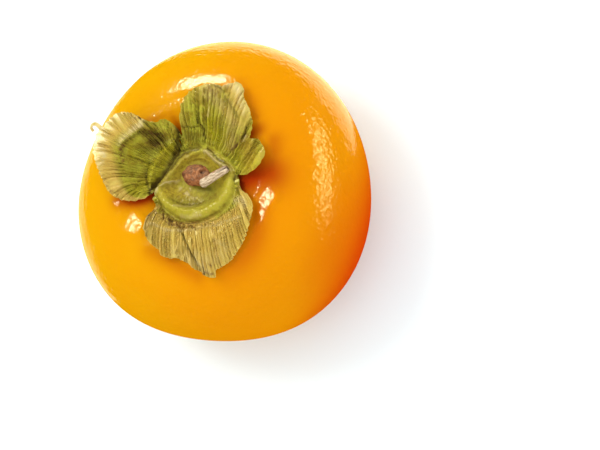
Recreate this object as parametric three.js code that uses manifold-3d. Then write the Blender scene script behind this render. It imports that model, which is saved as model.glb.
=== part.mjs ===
// A flat, sweet persimmon as picked: the fruit, its leafy calyx and the stub of its stem.
// Millimetres, +Z up. The fruit stands on its blossom end, and the origin is the middle of its
// footprint, on the surface that it stands on. Bearings are degrees anticlockwise from +X, and a
// plan point is written [bearing, reach] from the fruit's axis.

import * as THREE from 'three';
import { mergeVertices } from 'three/addons/utils/BufferGeometryUtils.js';
import Module from 'manifold-3d';

// ---------------------------------------------------------------- driving dimensions

// The fruit: a flattened globe, slightly oval and slightly four-cornered in plan, hollowed under
// the calyx, with a small dimple in the flat spot at its blossom end.
const FRUIT = {
  longRadius: 39.6,
  shortRadius: 37.7,
  longBearing: 66,
  cornerSwell: 0.35, // four soft corners
  cornerBearing: 42,
  flankSwell: 0.9, // three fuller flanks
  flankBearing: 87.5,
  waistHeight: 28, // the widest level
  topRise: 34.5, // crown over the waist, before the hollow is taken out of it
  baseDrop: 28.7, // a little more than the waist height, which shaves the base to a flat spot
  fullness: 2.2, // 2 would be an ellipse, more is squarer
  hollowDepth: 13.5,
  hollowSpread: 0.42, // a share of the plan radius
  hollowSlope: 2.2,
  dimpleDepth: 1.2,
  dimpleRadius: 5.5,
};

// The calyx: a thick disc with a rolled collar round the stem, and broad lobes that grow out from
// under the collar. Lifts are heights over the fruit's skin, to the calyx's upper face.
const CALYX = {
  gap: 0.38, // clearance over the skin
  blade: 0.8, // thickness of a lobe
  steepest: 2.4, // how much deeper than its thickness a blade may be where it stands steep
  seatCentre: [-0.8, 1.4], // where the stem stands, in x and y
  seatRadius: 3.3,
  seatLift: 2.2,
  floorLift: 2.2,
  collarShare: 0.72, // where the collar stands between the seat's edge and the disc's rim
  collarWidth: 0.17,
  collarLow: 0.5, // the collar's height over the floor on its thin side
  collarHigh: 3.2, // and on its thick side
  thickBearing: 285,
  thickness: 2.5, // how fast the collar thins away from there
  grooveLift: 1.9, // the groove outside the collar, where the lobes begin
};

// Where the disc ends and the lobes begin.
const DISC_RIM = [[0, 11.6], [35, 9], [72, 8.2], [118, 7.8], [149, 7.6], [178, 8.6], [200, 11], [235, 10.9], [272, 11.5], [320, 12.2]];

// Each lobe: the stretch of the rim that it grows from, how many ribs carry it, its outline from
// one side round to the other, and its folds. A fold is a line of [bearing, reach, height], with
// how far it fades towards the axis and away from it. The first fold crosses the whole lobe.
const LOBES = {
  top: {
    rim: [3, 112],
    ribs: 28,
    outline: [
      [4, 13.2], [7, 16.8], [13, 18.9], [21, 20.1], [28, 19.9], [32, 18.4], [34.5, 15.6], [37, 17.4], [42, 19.4],
      [48, 21.2], [56, 22.6], [62, 25], [66, 26.1], [71, 25], [74.5, 23.5], [78, 24.3], [86, 24.1], [94, 23],
      [101, 20.2], [106, 16.8], [109, 12.6], [110, 9.4],
    ],
    folds: [
      { line: [[5, 12.2, 0], [20, 14.6, 1], [34, 12.6, 0.4], [52, 14.4, 0.7], [70, 15.4, 0.7], [90, 13.4, 0.9], [108, 10.6, 0.2]], inner: 3, outer: 4 },
      { line: [[88, 17, 0.6], [83, 21, 1]], inner: 4, outer: 4 },
      { line: [[66, 24.5, 1.6], [58, 22, 1.6], [46, 20, 1.4], [38, 17, 1]], inner: 3, outer: 3 },
      { line: [[84, 24, 0.3], [74, 24, 1.4], [66, 25.5, 0.6]], inner: 2, outer: 2 },
      { line: [[31, 17.5, 1.2], [22, 19, 2], [12, 17.5, 1.8], [6, 14, 1]], inner: 3.5, outer: 3 },
      { line: [[104, 18, 1], [108, 12, 0.6]], inner: 2.5, outer: 2.5 },
    ],
  },
  left: {
    rim: [119, 198],
    ribs: 28,
    outline: [
      [115, 9.4], [111.5, 12.6], [113, 15.2], [118, 17], [124, 17.6], [131, 17.8], [134.5, 20.4], [138, 25],
      [143, 27.8], [149, 28.9], [153.5, 30.6], [155, 32.6], [157.5, 31.6], [163, 30.4], [170, 27.8], [180, 24.6],
      [190, 21.5], [197, 18.9], [201, 16], [200, 12.8],
    ],
    folds: [
      {
        line: [
          [115, 11, 0.4], [118, 13.6, 1.2], [126, 15.2, 2.2], [133, 17, 4.6], [147, 17.4, 6.3], [156, 18.5, 6.4],
          [165, 18.8, 5.2], [174, 18.8, 3.4], [184, 17.4, 1.8], [192, 15.2, 0.8], [199, 12.2, 0.3],
        ],
        inner: 2.6,
        outer: 8,
      },
      { line: [[122, 10.3, 0.9], [150, 10, 1.1], [180, 10.8, 0.9], [194, 12.4, 0.5]], inner: 1.2, outer: 1.6 },
    ],
  },
  bottom: {
    rim: [204, 358],
    ribs: 30,
    outline: [
      [208, 12.4], [215, 14.6], [222, 17.3], [231, 19], [240, 19.9], [250, 20.8], [257, 20.9], [263, 20.6], [269, 22],
      [276, 23.6], [279.5, 25.2], [283, 25.6], [286, 24.2], [292, 23.8], [300, 22.9], [308, 21.8], [317, 20.4],
      [327, 18.8], [337, 16.9], [346, 14.6], [354, 12.8],
    ],
    folds: [
      {
        line: [
          [206, 11.8, 0.3], [218, 14, 0.6], [229, 15, 0.9], [250, 14.2, 1.3], [272, 13.8, 1.5], [295, 14.4, 1.4],
          [318, 15.6, 1.2], [335, 14.8, 0.8], [353, 12.4, 0.3],
        ],
        inner: 1.6,
        outer: 5,
      },
      { line: [[216, 14, 0.5], [226, 18, 0.9]], inner: 2, outer: 2 },
      { line: [[283, 25.4, 1.2], [283, 22, 0.3]], inner: 1.5, outer: 1.5 },
      { line: [[338, 16, 1.2], [326, 18.4, 1]], inner: 2.5, outer: 2.5 },
    ],
  },
};
const EDGE_WAVE = { height: 0.35, waves: 9 };

// The stem: a bark-covered knob, and a short cut stub that lies over to one side. Heights are over
// the knob's foot.
const STEM = {
  clearance: 0.32, // between the knob's foot and the calyx
  knobRadius: 2.8,
  knobHeight: 4,
  stubRoute: [[-0.3, 0.4, 2.6], [0.9, -0.8, 3.3], [2.4, -0.8, 4], [4.8, 0.4, 4.6], [9, 2.4, 4.9]], // x, y, height
  stubRadius: 1,
};

const DETAIL = { fruitRound: 64, fruitRise: 40, discRings: 7, lobeRows: 10, knobSides: 20, stubSides: 10, stubSteps: 12 };

// ---------------------------------------------------------------- the fruit's surface

const { clamp, degToRad, euclideanModulo, lerp, radToDeg, smoothstep } = THREE.MathUtils;
const bearingOf = (x, y) => radToDeg(Math.atan2(y, x));
const cosDegrees = (angle) => Math.cos(degToRad(angle));
const plan = ([bearing, reach]) => new THREE.Vector2(reach, 0).rotateAround(new THREE.Vector2(), degToRad(bearing));
const fade = (distance, width) => Math.exp(-((distance / width) ** 2));

function planRadius(bearing) {
  const turn = degToRad(bearing - FRUIT.longBearing);
  const oval = (FRUIT.longRadius * FRUIT.shortRadius)
    / Math.hypot(FRUIT.shortRadius * Math.cos(turn), FRUIT.longRadius * Math.sin(turn));
  const corners = FRUIT.cornerSwell * cosDegrees(4 * (bearing - FRUIT.cornerBearing));
  const flanks = FRUIT.flankSwell * cosDegrees(3 * (bearing - FRUIT.flankBearing));
  return oval + corners + flanks;
}

// A share runs from 0 on the axis to 1 at the waist.
const bulge = (share) => (1 - share ** FRUIT.fullness) ** (1 / FRUIT.fullness);

function crownHeight(share) {
  const hollow = FRUIT.hollowDepth * Math.exp(-((share / FRUIT.hollowSpread) ** FRUIT.hollowSlope));
  return FRUIT.waistHeight + FRUIT.topRise * bulge(share) - hollow;
}

function baseHeight(share) {
  const bowl = FRUIT.waistHeight - FRUIT.baseDrop * bulge(share);
  const dimple = Math.max(0, 1 - (share * FRUIT.longRadius / FRUIT.dimpleRadius) ** 2);
  return Math.max(0, bowl) + FRUIT.dimpleDepth * dimple ** 2;
}

const skinHeight = (x, y) => crownHeight(clamp(Math.hypot(x, y) / planRadius(bearingOf(x, y)), 0, 1));
const overSkin = (x, y, lift) => new THREE.Vector3(x, y, skinHeight(x, y) + lift);

function makeFruit() {
  const profile = [];
  for (let step = 0; step <= DETAIL.fruitRise; step += 1) {
    const angle = Math.PI * (step / DETAIL.fruitRise - 0.5);
    const onAxis = step === 0 || step === DETAIL.fruitRise;
    const share = onAxis ? 0 : Math.cos(angle) ** (2 / FRUIT.fullness);
    profile.push(new THREE.Vector2(share, angle < 0 ? baseHeight(share) : crownHeight(share)));
  }
  const geometry = new THREE.LatheGeometry(profile, DETAIL.fruitRound).rotateX(Math.PI / 2);
  const position = geometry.getAttribute('position');
  for (let i = 0; i < position.count; i += 1) {
    const radius = planRadius(bearingOf(position.getX(i), position.getY(i)));
    position.setXY(i, position.getX(i) * radius, position.getY(i) * radius);
  }
  return geometry;
}

// ---------------------------------------------------------------- the calyx

const rimCurve = new THREE.CatmullRomCurve3(
  [...DISC_RIM, [DISC_RIM[0][0] + 360, DISC_RIM[0][1]]].map(([bearing, reach]) => new THREE.Vector3(bearing, reach, 0)),
);

// The disc's rim at a bearing, smooth between the listed places.
function rimPoint(bearing) {
  const wanted = euclideanModulo(bearing, 360);
  let [low, high] = [0, 1];
  while (high - low > 1e-6) {
    const middle = (low + high) / 2;
    if (rimCurve.getPoint(middle).x < wanted) low = middle;
    else high = middle;
  }
  return plan([bearing, rimCurve.getPoint(low).y]);
}

const seatCentre = new THREE.Vector2(...CALYX.seatCentre);
const seatHeight = skinHeight(...CALYX.seatCentre) + CALYX.seatLift;

// The disc's upper face, from the stem's flat seat (share 0) over the floor and the collar to the
// groove at its rim (share 1).
function discPoint(bearing, share) {
  const seatEdge = plan([bearing, CALYX.seatRadius]).add(seatCentre);
  const at = seatEdge.lerp(rimPoint(bearing), share);
  const thickness = (0.5 + 0.5 * cosDegrees(bearing - CALYX.thickBearing)) ** CALYX.thickness;
  const collar = lerp(CALYX.collarLow, CALYX.collarHigh, thickness) * fade(share - CALYX.collarShare, CALYX.collarWidth);
  const lift = lerp(CALYX.floorLift + collar, CALYX.grooveLift, smoothstep(share, CALYX.collarShare + 0.08, 1));
  const point = overSkin(at.x, at.y, lift);
  point.z = lerp(seatHeight, point.z, smoothstep(share, 0, 0.5));
  return point;
}

// Height that a fold adds at a plan point: its own height at the nearest place on its line, fading
// with the distance from it.
function foldHeight({ line, inner, outer }, at) {
  const nodes = line.map(([bearing, reach]) => plan([bearing, reach]));
  let nearest = { distance: Infinity };
  for (let i = 1; i < nodes.length; i += 1) {
    const [start, end] = [nodes[i - 1], nodes[i]];
    const way = end.clone().sub(start);
    const share = clamp(at.clone().sub(start).dot(way) / way.lengthSq(), 0, 1);
    const foot = start.clone().lerp(end, share);
    const distance = foot.distanceTo(at);
    if (distance < nearest.distance) nearest = { distance, foot, height: lerp(line[i - 1][2], line[i][2], share) };
  }
  const outward = (at.length() - nearest.foot.length()) / Math.max(nearest.distance, 1e-6); // -1 to 1
  return nearest.height * fade(nearest.distance, lerp(inner, outer, 0.5 + 0.5 * clamp(outward, -1, 1)));
}

// A lobe's upper face. Across runs from its first side (0) to the other (1), and along from the
// groove (0) over its first fold (0.5) to its edge (1).
function lobePoint(lobe, across, along) {
  const rim = rimPoint(lerp(lobe.rim[0], lobe.rim[1], across));
  const crest = lobe.crest.getPointAt(across);
  const at = along < 0.5 ? rim.lerp(crest, 2 * along) : crest.lerp(lobe.edge.getPointAt(across), 2 * along - 1);
  const lying = lerp(CALYX.grooveLift, CALYX.gap + CALYX.blade + 0.1, smoothstep(along, 0, 0.3));
  const folds = lobe.folds.reduce((sum, fold) => sum + foldHeight(fold, at), 0);
  const wave = EDGE_WAVE.height * along ** 2 * (1 + Math.sin(EDGE_WAVE.waves * Math.PI * across));
  return overSkin(at.x, at.y, lying + smoothstep(along, 0, 0.12) * (folds + wave));
}

// Ribs are lines of points from the seat to the disc's rim, and on to the edge of the lobe that
// they carry. Neighbouring ribs of a lobe are joined over their whole length, others up to the rim.
function makeRibs() {
  return Object.values(LOBES).flatMap((lobe) => {
    lobe.edge = new THREE.SplineCurve(lobe.outline.map(plan));
    lobe.crest = new THREE.SplineCurve(lobe.folds[0].line.map(plan));
    return Array.from({ length: lobe.ribs }, (_, i) => {
      const across = i / (lobe.ribs - 1);
      const bearing = lerp(lobe.rim[0], lobe.rim[1], across);
      const disc = Array.from({ length: DETAIL.discRings + 1 }, (_ring, ring) => discPoint(bearing, ring / DETAIL.discRings));
      const blade = Array.from({ length: DETAIL.lobeRows }, (_row, row) => lobePoint(lobe, across, (row + 1) / DETAIL.lobeRows));
      return { points: [...disc, ...blade], joined: across < 1 };
    });
  });
}

// The upper face is a net of quads between ribs. The lower face copies it, split alike: under the
// disc it lies just over the skin, and under a lobe it keeps the blade's thickness.
function makeCalyx() {
  const upper = [new THREE.Vector3(seatCentre.x, seatCentre.y, seatHeight)];
  const ribs = makeRibs();
  const index = ribs.map(({ points }) => points.map((point) => upper.push(point) - 1));
  const faces = [];
  ribs.forEach(({ joined, points }, i) => {
    const [here, next] = [index[i], index[(i + 1) % ribs.length]];
    faces.push([0, here[0], next[0]]);
    const rows = joined ? points.length - 1 : DETAIL.discRings;
    for (let row = 0; row < rows; row += 1) {
      faces.push([here[row], here[row + 1], next[row + 1]], [here[row], next[row + 1], next[row]]);
    }
  });

  const under = upper.length;
  const solid = new Set([0, ...index.flatMap((rib) => rib.slice(0, DETAIL.discRings))]);
  const slopes = meshGeometry(upper, faces).getAttribute('normal');
  const lower = upper.map((point, i) => {
    const skin = skinHeight(point.x, point.y) + CALYX.gap;
    const depth = CALYX.blade * Math.min(CALYX.steepest, 1 / slopes.getZ(i));
    return new THREE.Vector3(point.x, point.y, solid.has(i) ? skin : Math.max(skin, point.z - depth));
  });

  const borders = new Map();
  for (const [a, b, c] of faces) {
    for (const [from, to] of [[a, b], [b, c], [c, a]]) {
      if (!borders.delete(`${to} ${from}`)) borders.set(`${from} ${to}`, [from, to]);
    }
  }
  const closed = faces.flatMap(([a, b, c]) => [[a, b, c], [under + a, under + c, under + b]]);
  for (const [from, to] of borders.values()) closed.push([from, under + from, under + to], [from, under + to, to]);
  return meshGeometry([...upper, ...lower], closed);
}

function meshGeometry(points, faces) {
  const geometry = new THREE.BufferGeometry().setFromPoints(points);
  geometry.setIndex(faces.flat());
  geometry.computeVertexNormals();
  return geometry;
}

// ---------------------------------------------------------------- the stem

const wasm = await Module();
wasm.setup();

function toSolid(geometry) {
  const bare = geometry.clone();
  bare.deleteAttribute('normal');
  bare.deleteAttribute('uv');
  const merged = mergeVertices(bare, 1e-4);
  return new wasm.Manifold(new wasm.Mesh({
    numProp: 3,
    vertProperties: merged.getAttribute('position').array,
    triVerts: new Uint32Array(merged.index.array),
  }));
}

function toGeometry(solid) {
  const { vertProperties, triVerts } = solid.getMesh();
  const geometry = new THREE.BufferGeometry();
  geometry.setAttribute('position', new THREE.BufferAttribute(vertProperties, 3));
  geometry.setIndex(new THREE.BufferAttribute(triVerts, 1));
  geometry.computeVertexNormals();
  return geometry;
}

function makeStem() {
  const [radius, height] = [STEM.knobRadius, STEM.knobHeight];
  const profile = [[0, 0], [0.88, 0], [1, 0.25], [0.98, 0.6], [0.78, 0.86], [0.42, 0.98], [0, 1]];
  const knob = new THREE.LatheGeometry(
    profile.map(([out, up]) => new THREE.Vector2(out * radius, up * height)),
    DETAIL.knobSides,
  ).rotateX(Math.PI / 2).translate(seatCentre.x, seatCentre.y, 0);
  const section = new THREE.Shape().absarc(0, 0, STEM.stubRadius, 0, 2 * Math.PI);
  const route = new THREE.CatmullRomCurve3(STEM.stubRoute.map((point) => new THREE.Vector3(...point)));
  const stub = new THREE.ExtrudeGeometry(section, {
    extrudePath: route,
    steps: DETAIL.stubSteps,
    curveSegments: DETAIL.stubSides,
  });
  return toGeometry(toSolid(knob).add(toSolid(stub))).translate(0, 0, seatHeight + STEM.clearance);
}

// ---------------------------------------------------------------- the assembly

function piece(name, geometry, color, roughness) {
  const mesh = new THREE.Mesh(geometry, new THREE.MeshStandardMaterial({ color, roughness, metalness: 0 }));
  mesh.name = name;
  return mesh;
}

const fruit = piece('fruit', makeFruit(), 0xf09a12, 0.3);
const calyx = piece('calyx', makeCalyx(), 0x9a8f3a, 0.6);
const stem = piece('stem', makeStem(), 0xa9805a, 0.8);

// The flanks aren't alike, so the axis stands a little off the middle of the footprint.
fruit.geometry.computeBoundingBox();
const footprint = fruit.geometry.boundingBox.getCenter(new THREE.Vector3());

const persimmon = new THREE.Group();
persimmon.add(fruit, calyx, stem);
persimmon.position.set(-footprint.x, -footprint.y, 0);

export default persimmon;
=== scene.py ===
"""A flat, sweet persimmon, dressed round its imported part: the glossy fruit, the leafy calyx with its
curled papery lobes, and the bark-covered stem. Lengths are written in millimetres, or in metres on the
stage, and bearings in degrees anticlockwise from +X. A plan point is [bearing, reach] from the
fruit's own axis."""

import math

import bpy
import numpy as np
from bpy.props import FloatProperty, FloatVectorProperty, IntProperty, PointerProperty
from mathutils import Matrix, Vector, noise


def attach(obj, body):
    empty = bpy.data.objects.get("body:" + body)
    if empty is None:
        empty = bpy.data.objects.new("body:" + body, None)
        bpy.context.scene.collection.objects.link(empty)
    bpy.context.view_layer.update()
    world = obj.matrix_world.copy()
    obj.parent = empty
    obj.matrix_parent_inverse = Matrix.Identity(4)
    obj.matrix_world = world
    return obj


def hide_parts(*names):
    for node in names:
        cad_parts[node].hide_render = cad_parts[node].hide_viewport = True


bl_info = {
    "name": "Persimmon",
    "version": (1, 0, 0),
    "blender": (4, 5, 0),
    "location": "3D View > Sidebar > Persimmon",
    "description": "Builds a glossy persimmon with its calyx and stem round a packed part",
    "category": "Add Mesh",
}

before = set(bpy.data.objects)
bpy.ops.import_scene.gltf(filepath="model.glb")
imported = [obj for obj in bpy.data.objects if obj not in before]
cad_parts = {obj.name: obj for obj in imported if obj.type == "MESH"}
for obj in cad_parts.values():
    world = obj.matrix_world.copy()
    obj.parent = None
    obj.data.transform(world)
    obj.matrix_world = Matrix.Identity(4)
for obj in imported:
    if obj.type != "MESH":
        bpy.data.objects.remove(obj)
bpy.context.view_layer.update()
MM = 0.001
SEED = 7

# ------------------------------------------------------------------ the part's own sizes

LONG_RADIUS, SHORT_RADIUS, LONG_BEARING = 39.6, 37.7, 66.0
CORNER_SWELL, CORNER_BEARING = 0.35, 42.0
FLANK_SWELL, FLANK_BEARING = 0.9, 87.5
WAIST_HEIGHT, TOP_RISE, BASE_DROP, FULLNESS = 28.0, 34.5, 28.7, 2.2
HOLLOW_DEPTH, HOLLOW_SPREAD, HOLLOW_SLOPE = 13.5, 0.42, 2.2
DIMPLE_DEPTH, DIMPLE_RADIUS = 1.2, 5.5

SKIN_GAP, BLADE_GAP = 0.38, 0.15  # between the skin and the calyx's disc, and at least under its lobes
SEAT_CENTRE, SEAT_RADIUS, SEAT_LIFT = np.array([-0.8, 1.4]), 3.3, 2.2
FLOOR_LIFT, GROOVE_LIFT, LYING_LIFT = 2.2, 1.9, 1.0
COLLAR_LOW, COLLAR_HIGH, THICK_BEARING = 0.5, 3.2, 285.0
# Where the collar, its lip and the groove lie from the stem's seat, 0, to the disc's rim, 1.
COLLAR_PLACE, COLLAR_SPREAD = 0.72, 0.17
LIP_PLACE, LIP_SPREAD = 0.85, 0.08
GROOVE_START, GROOVE_END = 0.86, 0.98

# The disc's rim, as plan points.
DISC_RIM = [
    [0, 11.6], [35, 9], [72, 8.2], [118, 7.8], [149, 7.6],
    [178, 8.6], [200, 11], [235, 10.9], [272, 11.5], [320, 12.2],
]

# How finely lines are worked out: places between two knots, round the rim, and along a drawn line.
KNOT_PLACES, RIM_PLACES, LINE_PLACES = 24, 721, 40


def planar(points):
    """Plan points, with any further columns kept, as x, y and those columns."""
    table = np.asarray(points, float)
    turn = np.radians(table[:, 0])
    return np.column_stack([table[:, 1] * np.cos(turn), table[:, 1] * np.sin(turn), table[:, 2:]])


def bell(distance, width):
    """1 at no distance, falling smoothly to almost nothing at twice the width."""
    return np.exp(-((distance / width) ** 2))


def step(low, high, value):
    """0 below low, 1 above high and smooth between them."""
    share = np.clip((value - low) / (high - low), 0, 1)
    return share * share * (3 - 2 * share)


def blend(a, b, share):
    """From a at share 0 to b at share 1."""
    return a + (b - a) * share


def turns(count):
    """Even bearings all the way round, in radians."""
    return np.arange(count) * 2 * math.pi / count


def smooth_line(knots, count):
    """Points spread evenly along a smooth line through the knots, with further columns carried along."""
    knots = np.asarray(knots, float)
    ends = 2 * knots[0] - knots[1], 2 * knots[-1] - knots[-2]
    padded = np.vstack([ends[0], knots, ends[1]])
    place = np.linspace(0, len(knots) - 1, KNOT_PLACES * (len(knots) - 1) + 1)
    start = np.minimum(place.astype(int), len(knots) - 2)
    t = (place - start)[:, None]
    p0, p1, p2, p3 = (padded[start + k] for k in range(4))
    dense = 0.5 * (
        2 * p1
        + (p2 - p0) * t
        + (2 * p0 - 5 * p1 + 4 * p2 - p3) * t**2
        + (3 * p1 - p0 - 3 * p2 + p3) * t**3
    )
    length = np.concatenate([[0], np.cumsum(np.linalg.norm(np.diff(dense[:, :2], axis=0), axis=1))])
    even = np.linspace(0, length[-1], count)
    return np.column_stack([np.interp(even, length, column) for column in dense.T])


def plan_radius(bearing):
    """The fruit's radius at the waist."""
    turn = np.radians(bearing - LONG_BEARING)
    oval = LONG_RADIUS * SHORT_RADIUS / np.hypot(SHORT_RADIUS * np.cos(turn), LONG_RADIUS * np.sin(turn))
    corners = CORNER_SWELL * np.cos(np.radians(4 * (bearing - CORNER_BEARING)))
    flanks = FLANK_SWELL * np.cos(np.radians(3 * (bearing - FLANK_BEARING)))
    return oval + corners + flanks


def bulge(share):
    """How full the fruit is at a share of its radius, from 1 on the axis to 0 at the waist."""
    return np.maximum(0, 1 - share**FULLNESS) ** (1 / FULLNESS)


def crown_height(share):
    """Height of the crown at a share of the radius, with the hollow under the calyx."""
    hollow = HOLLOW_DEPTH * np.exp(-((share / HOLLOW_SPREAD) ** HOLLOW_SLOPE))
    return WAIST_HEIGHT + TOP_RISE * bulge(share) - hollow


def base_height(share):
    """Height of the underside at a share of the radius, cut flat where it stands, with its dimple."""
    bowl = WAIST_HEIGHT - BASE_DROP * bulge(share)
    dimple = np.maximum(0, 1 - (share * LONG_RADIUS / DIMPLE_RADIUS) ** 2)
    return np.maximum(0, bowl) + DIMPLE_DEPTH * dimple**2


def skin_height(xy):
    """Height of the fruit's crown at plan places."""
    bearing = np.degrees(np.arctan2(xy[..., 1], xy[..., 0]))
    return crown_height(np.clip(np.hypot(xy[..., 0], xy[..., 1]) / plan_radius(bearing), 0, 1))


def axis_place():
    """Where the fruit's axis stands: the waist's middle is the origin, and its flanks aren't alike."""
    bearing = np.arange(0, 360, 0.5)
    waist = planar(np.column_stack([bearing, plan_radius(bearing)]))
    return -(waist.min(0) + waist.max(0)) / 2


AXIS = axis_place()


def to_frame(points):
    """Millimetres about the axis to metres in the part's frame."""
    placed = np.array(points, float)
    placed[:, :2] += AXIS
    return placed * MM


# ------------------------------------------------------------------ meshes


def make_mesh(name, points, faces, attributes=None, uv=None, sharp=None):
    """A smooth mesh object in the part's frame, with one float attribute for each mask, and a grain map."""
    mesh = bpy.data.meshes.new(name)
    mesh.from_pydata(to_frame(points).tolist(), [], [list(map(int, face)) for face in faces])
    mesh.update()
    mesh.shade_smooth()
    if sharp is not None:
        mesh.set_sharp_from_angle(angle=math.radians(sharp))
    for key, values in (attributes or {}).items():
        layer = mesh.attributes.new(key, "FLOAT", "POINT")
        layer.data.foreach_set("value", np.asarray(values, np.float32))
    if uv is not None:
        corners = np.empty(len(mesh.loops), np.int32)
        mesh.loops.foreach_get("vertex_index", corners)
        mesh.uv_layers.new(name="grain").data.foreach_set("uv", np.asarray(uv, np.float32)[corners].ravel())
    piece = bpy.data.objects.new(name, mesh)
    bpy.context.scene.collection.objects.link(piece)
    return piece


def ring_faces(rings, sides, turned=False):
    """Four-sided faces between rings of points that follow one another, turned over where asked."""
    faces = []
    for ring in range(rings - 1):
        low, high = ring * sides, (ring + 1) * sides
        for k in range(sides):
            after = (k + 1) % sides
            first, second = (after, k) if turned else (k, after)
            faces.append((low + first, low + second, high + second, high + first))
    return faces


def finish_piece(piece, material, node):
    """Give the piece its material, the node that it stands for, if any."""
    piece.data.materials.append(material)
    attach(piece, "root")
    if node:
        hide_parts(node)


def row_noise(count, seed):
    """Even random values for a one-dimensional smooth noise."""
    return np.random.default_rng(seed).uniform(-1, 1, count)


def noise_1d(place, values):
    """Smooth noise along a line, from random values one apart."""
    start = np.floor(place).astype(int)
    t = place - start
    t = t * t * (3 - 2 * t)
    return blend(values[start % len(values)], values[(start + 1) % len(values)], t)


# ------------------------------------------------------------------ materials

# How deep the leaf's fine grain looks, and that of the bark and the wood.
LEAF_GRAIN_DEPTH, STEM_GRAIN_DEPTH = 0.15, 0.3


class Shader:
    """A node material, built up by short calls."""

    def __init__(self, name):
        self.material = bpy.data.materials.new(name)
        self.material.use_nodes = True
        self.tree = self.material.node_tree
        self.surface = self.tree.nodes["Principled BSDF"]

    def add(self, kind, inputs=None, **settings):
        node = self.tree.nodes.new("ShaderNode" + kind)
        for key, value in settings.items():
            setattr(node, key, value)
        for key, value in (inputs or {}).items():
            self.feed(node.inputs[key], value)
        return node

    def feed(self, socket, value):
        """Link the socket to another node's output, or set it to a colour or any other value."""
        if isinstance(value, bpy.types.NodeSocket):
            self.tree.links.new(value, socket)
        elif socket.type == "RGBA":
            socket.default_value = (*value, 1.0)
        else:
            socket.default_value = value

    def mask(self, name):
        return self.add("Attribute", attribute_name=name).outputs["Fac"]

    def math(self, operation, a, b=0.0, clamp=False):
        return self.add("Math", {0: a, 1: b}, operation=operation, use_clamp=clamp).outputs[0]

    def noise(self, scale, detail=2.0, roughness=0.5, vector=None):
        inputs = {"Scale": scale, "Detail": detail, "Roughness": roughness}
        inputs["Vector"] = vector or self.add("TexCoord").outputs["Object"]
        return self.add("TexNoise", inputs).outputs["Fac"]

    def stretched(self, across, along, detail=3.0):
        """Noise drawn out along the grain of the piece's own map."""
        grain = self.add("UVMap", uv_map="grain").outputs["UV"]
        vector = self.add("Mapping", {"Vector": grain, "Scale": (across, along, 1.0)}).outputs["Vector"]
        return self.noise(1.0, detail, 0.6, vector)

    def spread(self, value, low, high):
        """The value's range from low to high, as 0 to 1."""
        inputs = {"Value": value, "From Min": low, "From Max": high}
        return self.add("MapRange", inputs, interpolation_type="SMOOTHSTEP").outputs[0]

    def mix(self, share, a, b):
        """Colour a, with the share of colour b laid over it."""
        return self.add("Mix", {0: share, 6: a, 7: b}, data_type="RGBA").outputs[2]

    def bump(self, height, strength, distance, normal=None):
        inputs = {"Height": height, "Strength": strength, "Distance": distance}
        if normal is not None:
            inputs["Normal"] = normal
        return self.add("Bump", inputs).outputs["Normal"]

    def finish(self, **sockets):
        """Set the surface's own sockets, with _ for each space in their names, and give the material."""
        for key, value in sockets.items():
            self.feed(self.surface.inputs[key.replace("_", " ")], value)
        return self.material


def skin_material(looks):
    """Waxy skin: golden, turning orange and red towards one side and low down, partly its own colour and
    partly painted shade where it turns from the light; paler low on the other side, partly a painted sheen;
    deep red painted shadow beside the calyx; and fine pores that break the gloss.
    """
    skin = Shader("persimmon_skin")
    mottle = skin.spread(skin.noise(70.0, 4.0, 0.6), 0.3, 0.7)
    gold = skin.mix(mottle, looks.gold, looks.deep_gold)
    ripe_and_shade = skin.mix(skin.mask("ripe_and_shade"), gold, looks.orange)
    specks = skin.math("MULTIPLY", skin.spread(skin.noise(1500.0, 1.0), 0.62, 0.75), 0.18)
    colour = skin.mix(specks, ripe_and_shade, looks.gold)
    # Laid on in turn: red that is partly painted shade on the side turned from the light, a pale coat that is
    # partly a painted sheen, deep red painted shadow beside the calyx, and the blossom scar.
    for name in ("blush_and_shade", "bloom_and_sheen", "hollow", "scar"):
        colour = skin.mix(skin.mask(name), colour, getattr(looks, name))
    # The shoulder's mask makes pores and ripple deepest on its high side and faint on its low side.
    uneven = skin.math("ADD", 0.5, skin.mask("shoulder"))
    pores = skin.math("MULTIPLY", skin.noise(1050.0, 0.5), uneven)
    ripple = skin.math("MULTIPLY", skin.noise(420.0, 1.0), uneven)
    normal = skin.bump(pores, 1.0, looks.pore_depth * MM)
    normal = skin.bump(ripple, 1.0, looks.ripple_depth * MM, normal)
    return skin.finish(
        Base_Color=colour,
        Roughness=0.6,
        Normal=normal,
        Coat_Normal=normal,
        Specular_IOR_Level=0.0,
        # The coat fades out where the calyx's shadow is painted deep red.
        Coat_Weight=skin.math("MULTIPLY", skin.spread(skin.mask("hollow"), 0.95, 0.6), 0.09),
        Coat_Roughness=0.13,
        Subsurface_Weight=0.05,
        Subsurface_Radius=(0.002, 0.001, 0.0003),
        Subsurface_Scale=1.0,
    )


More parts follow.
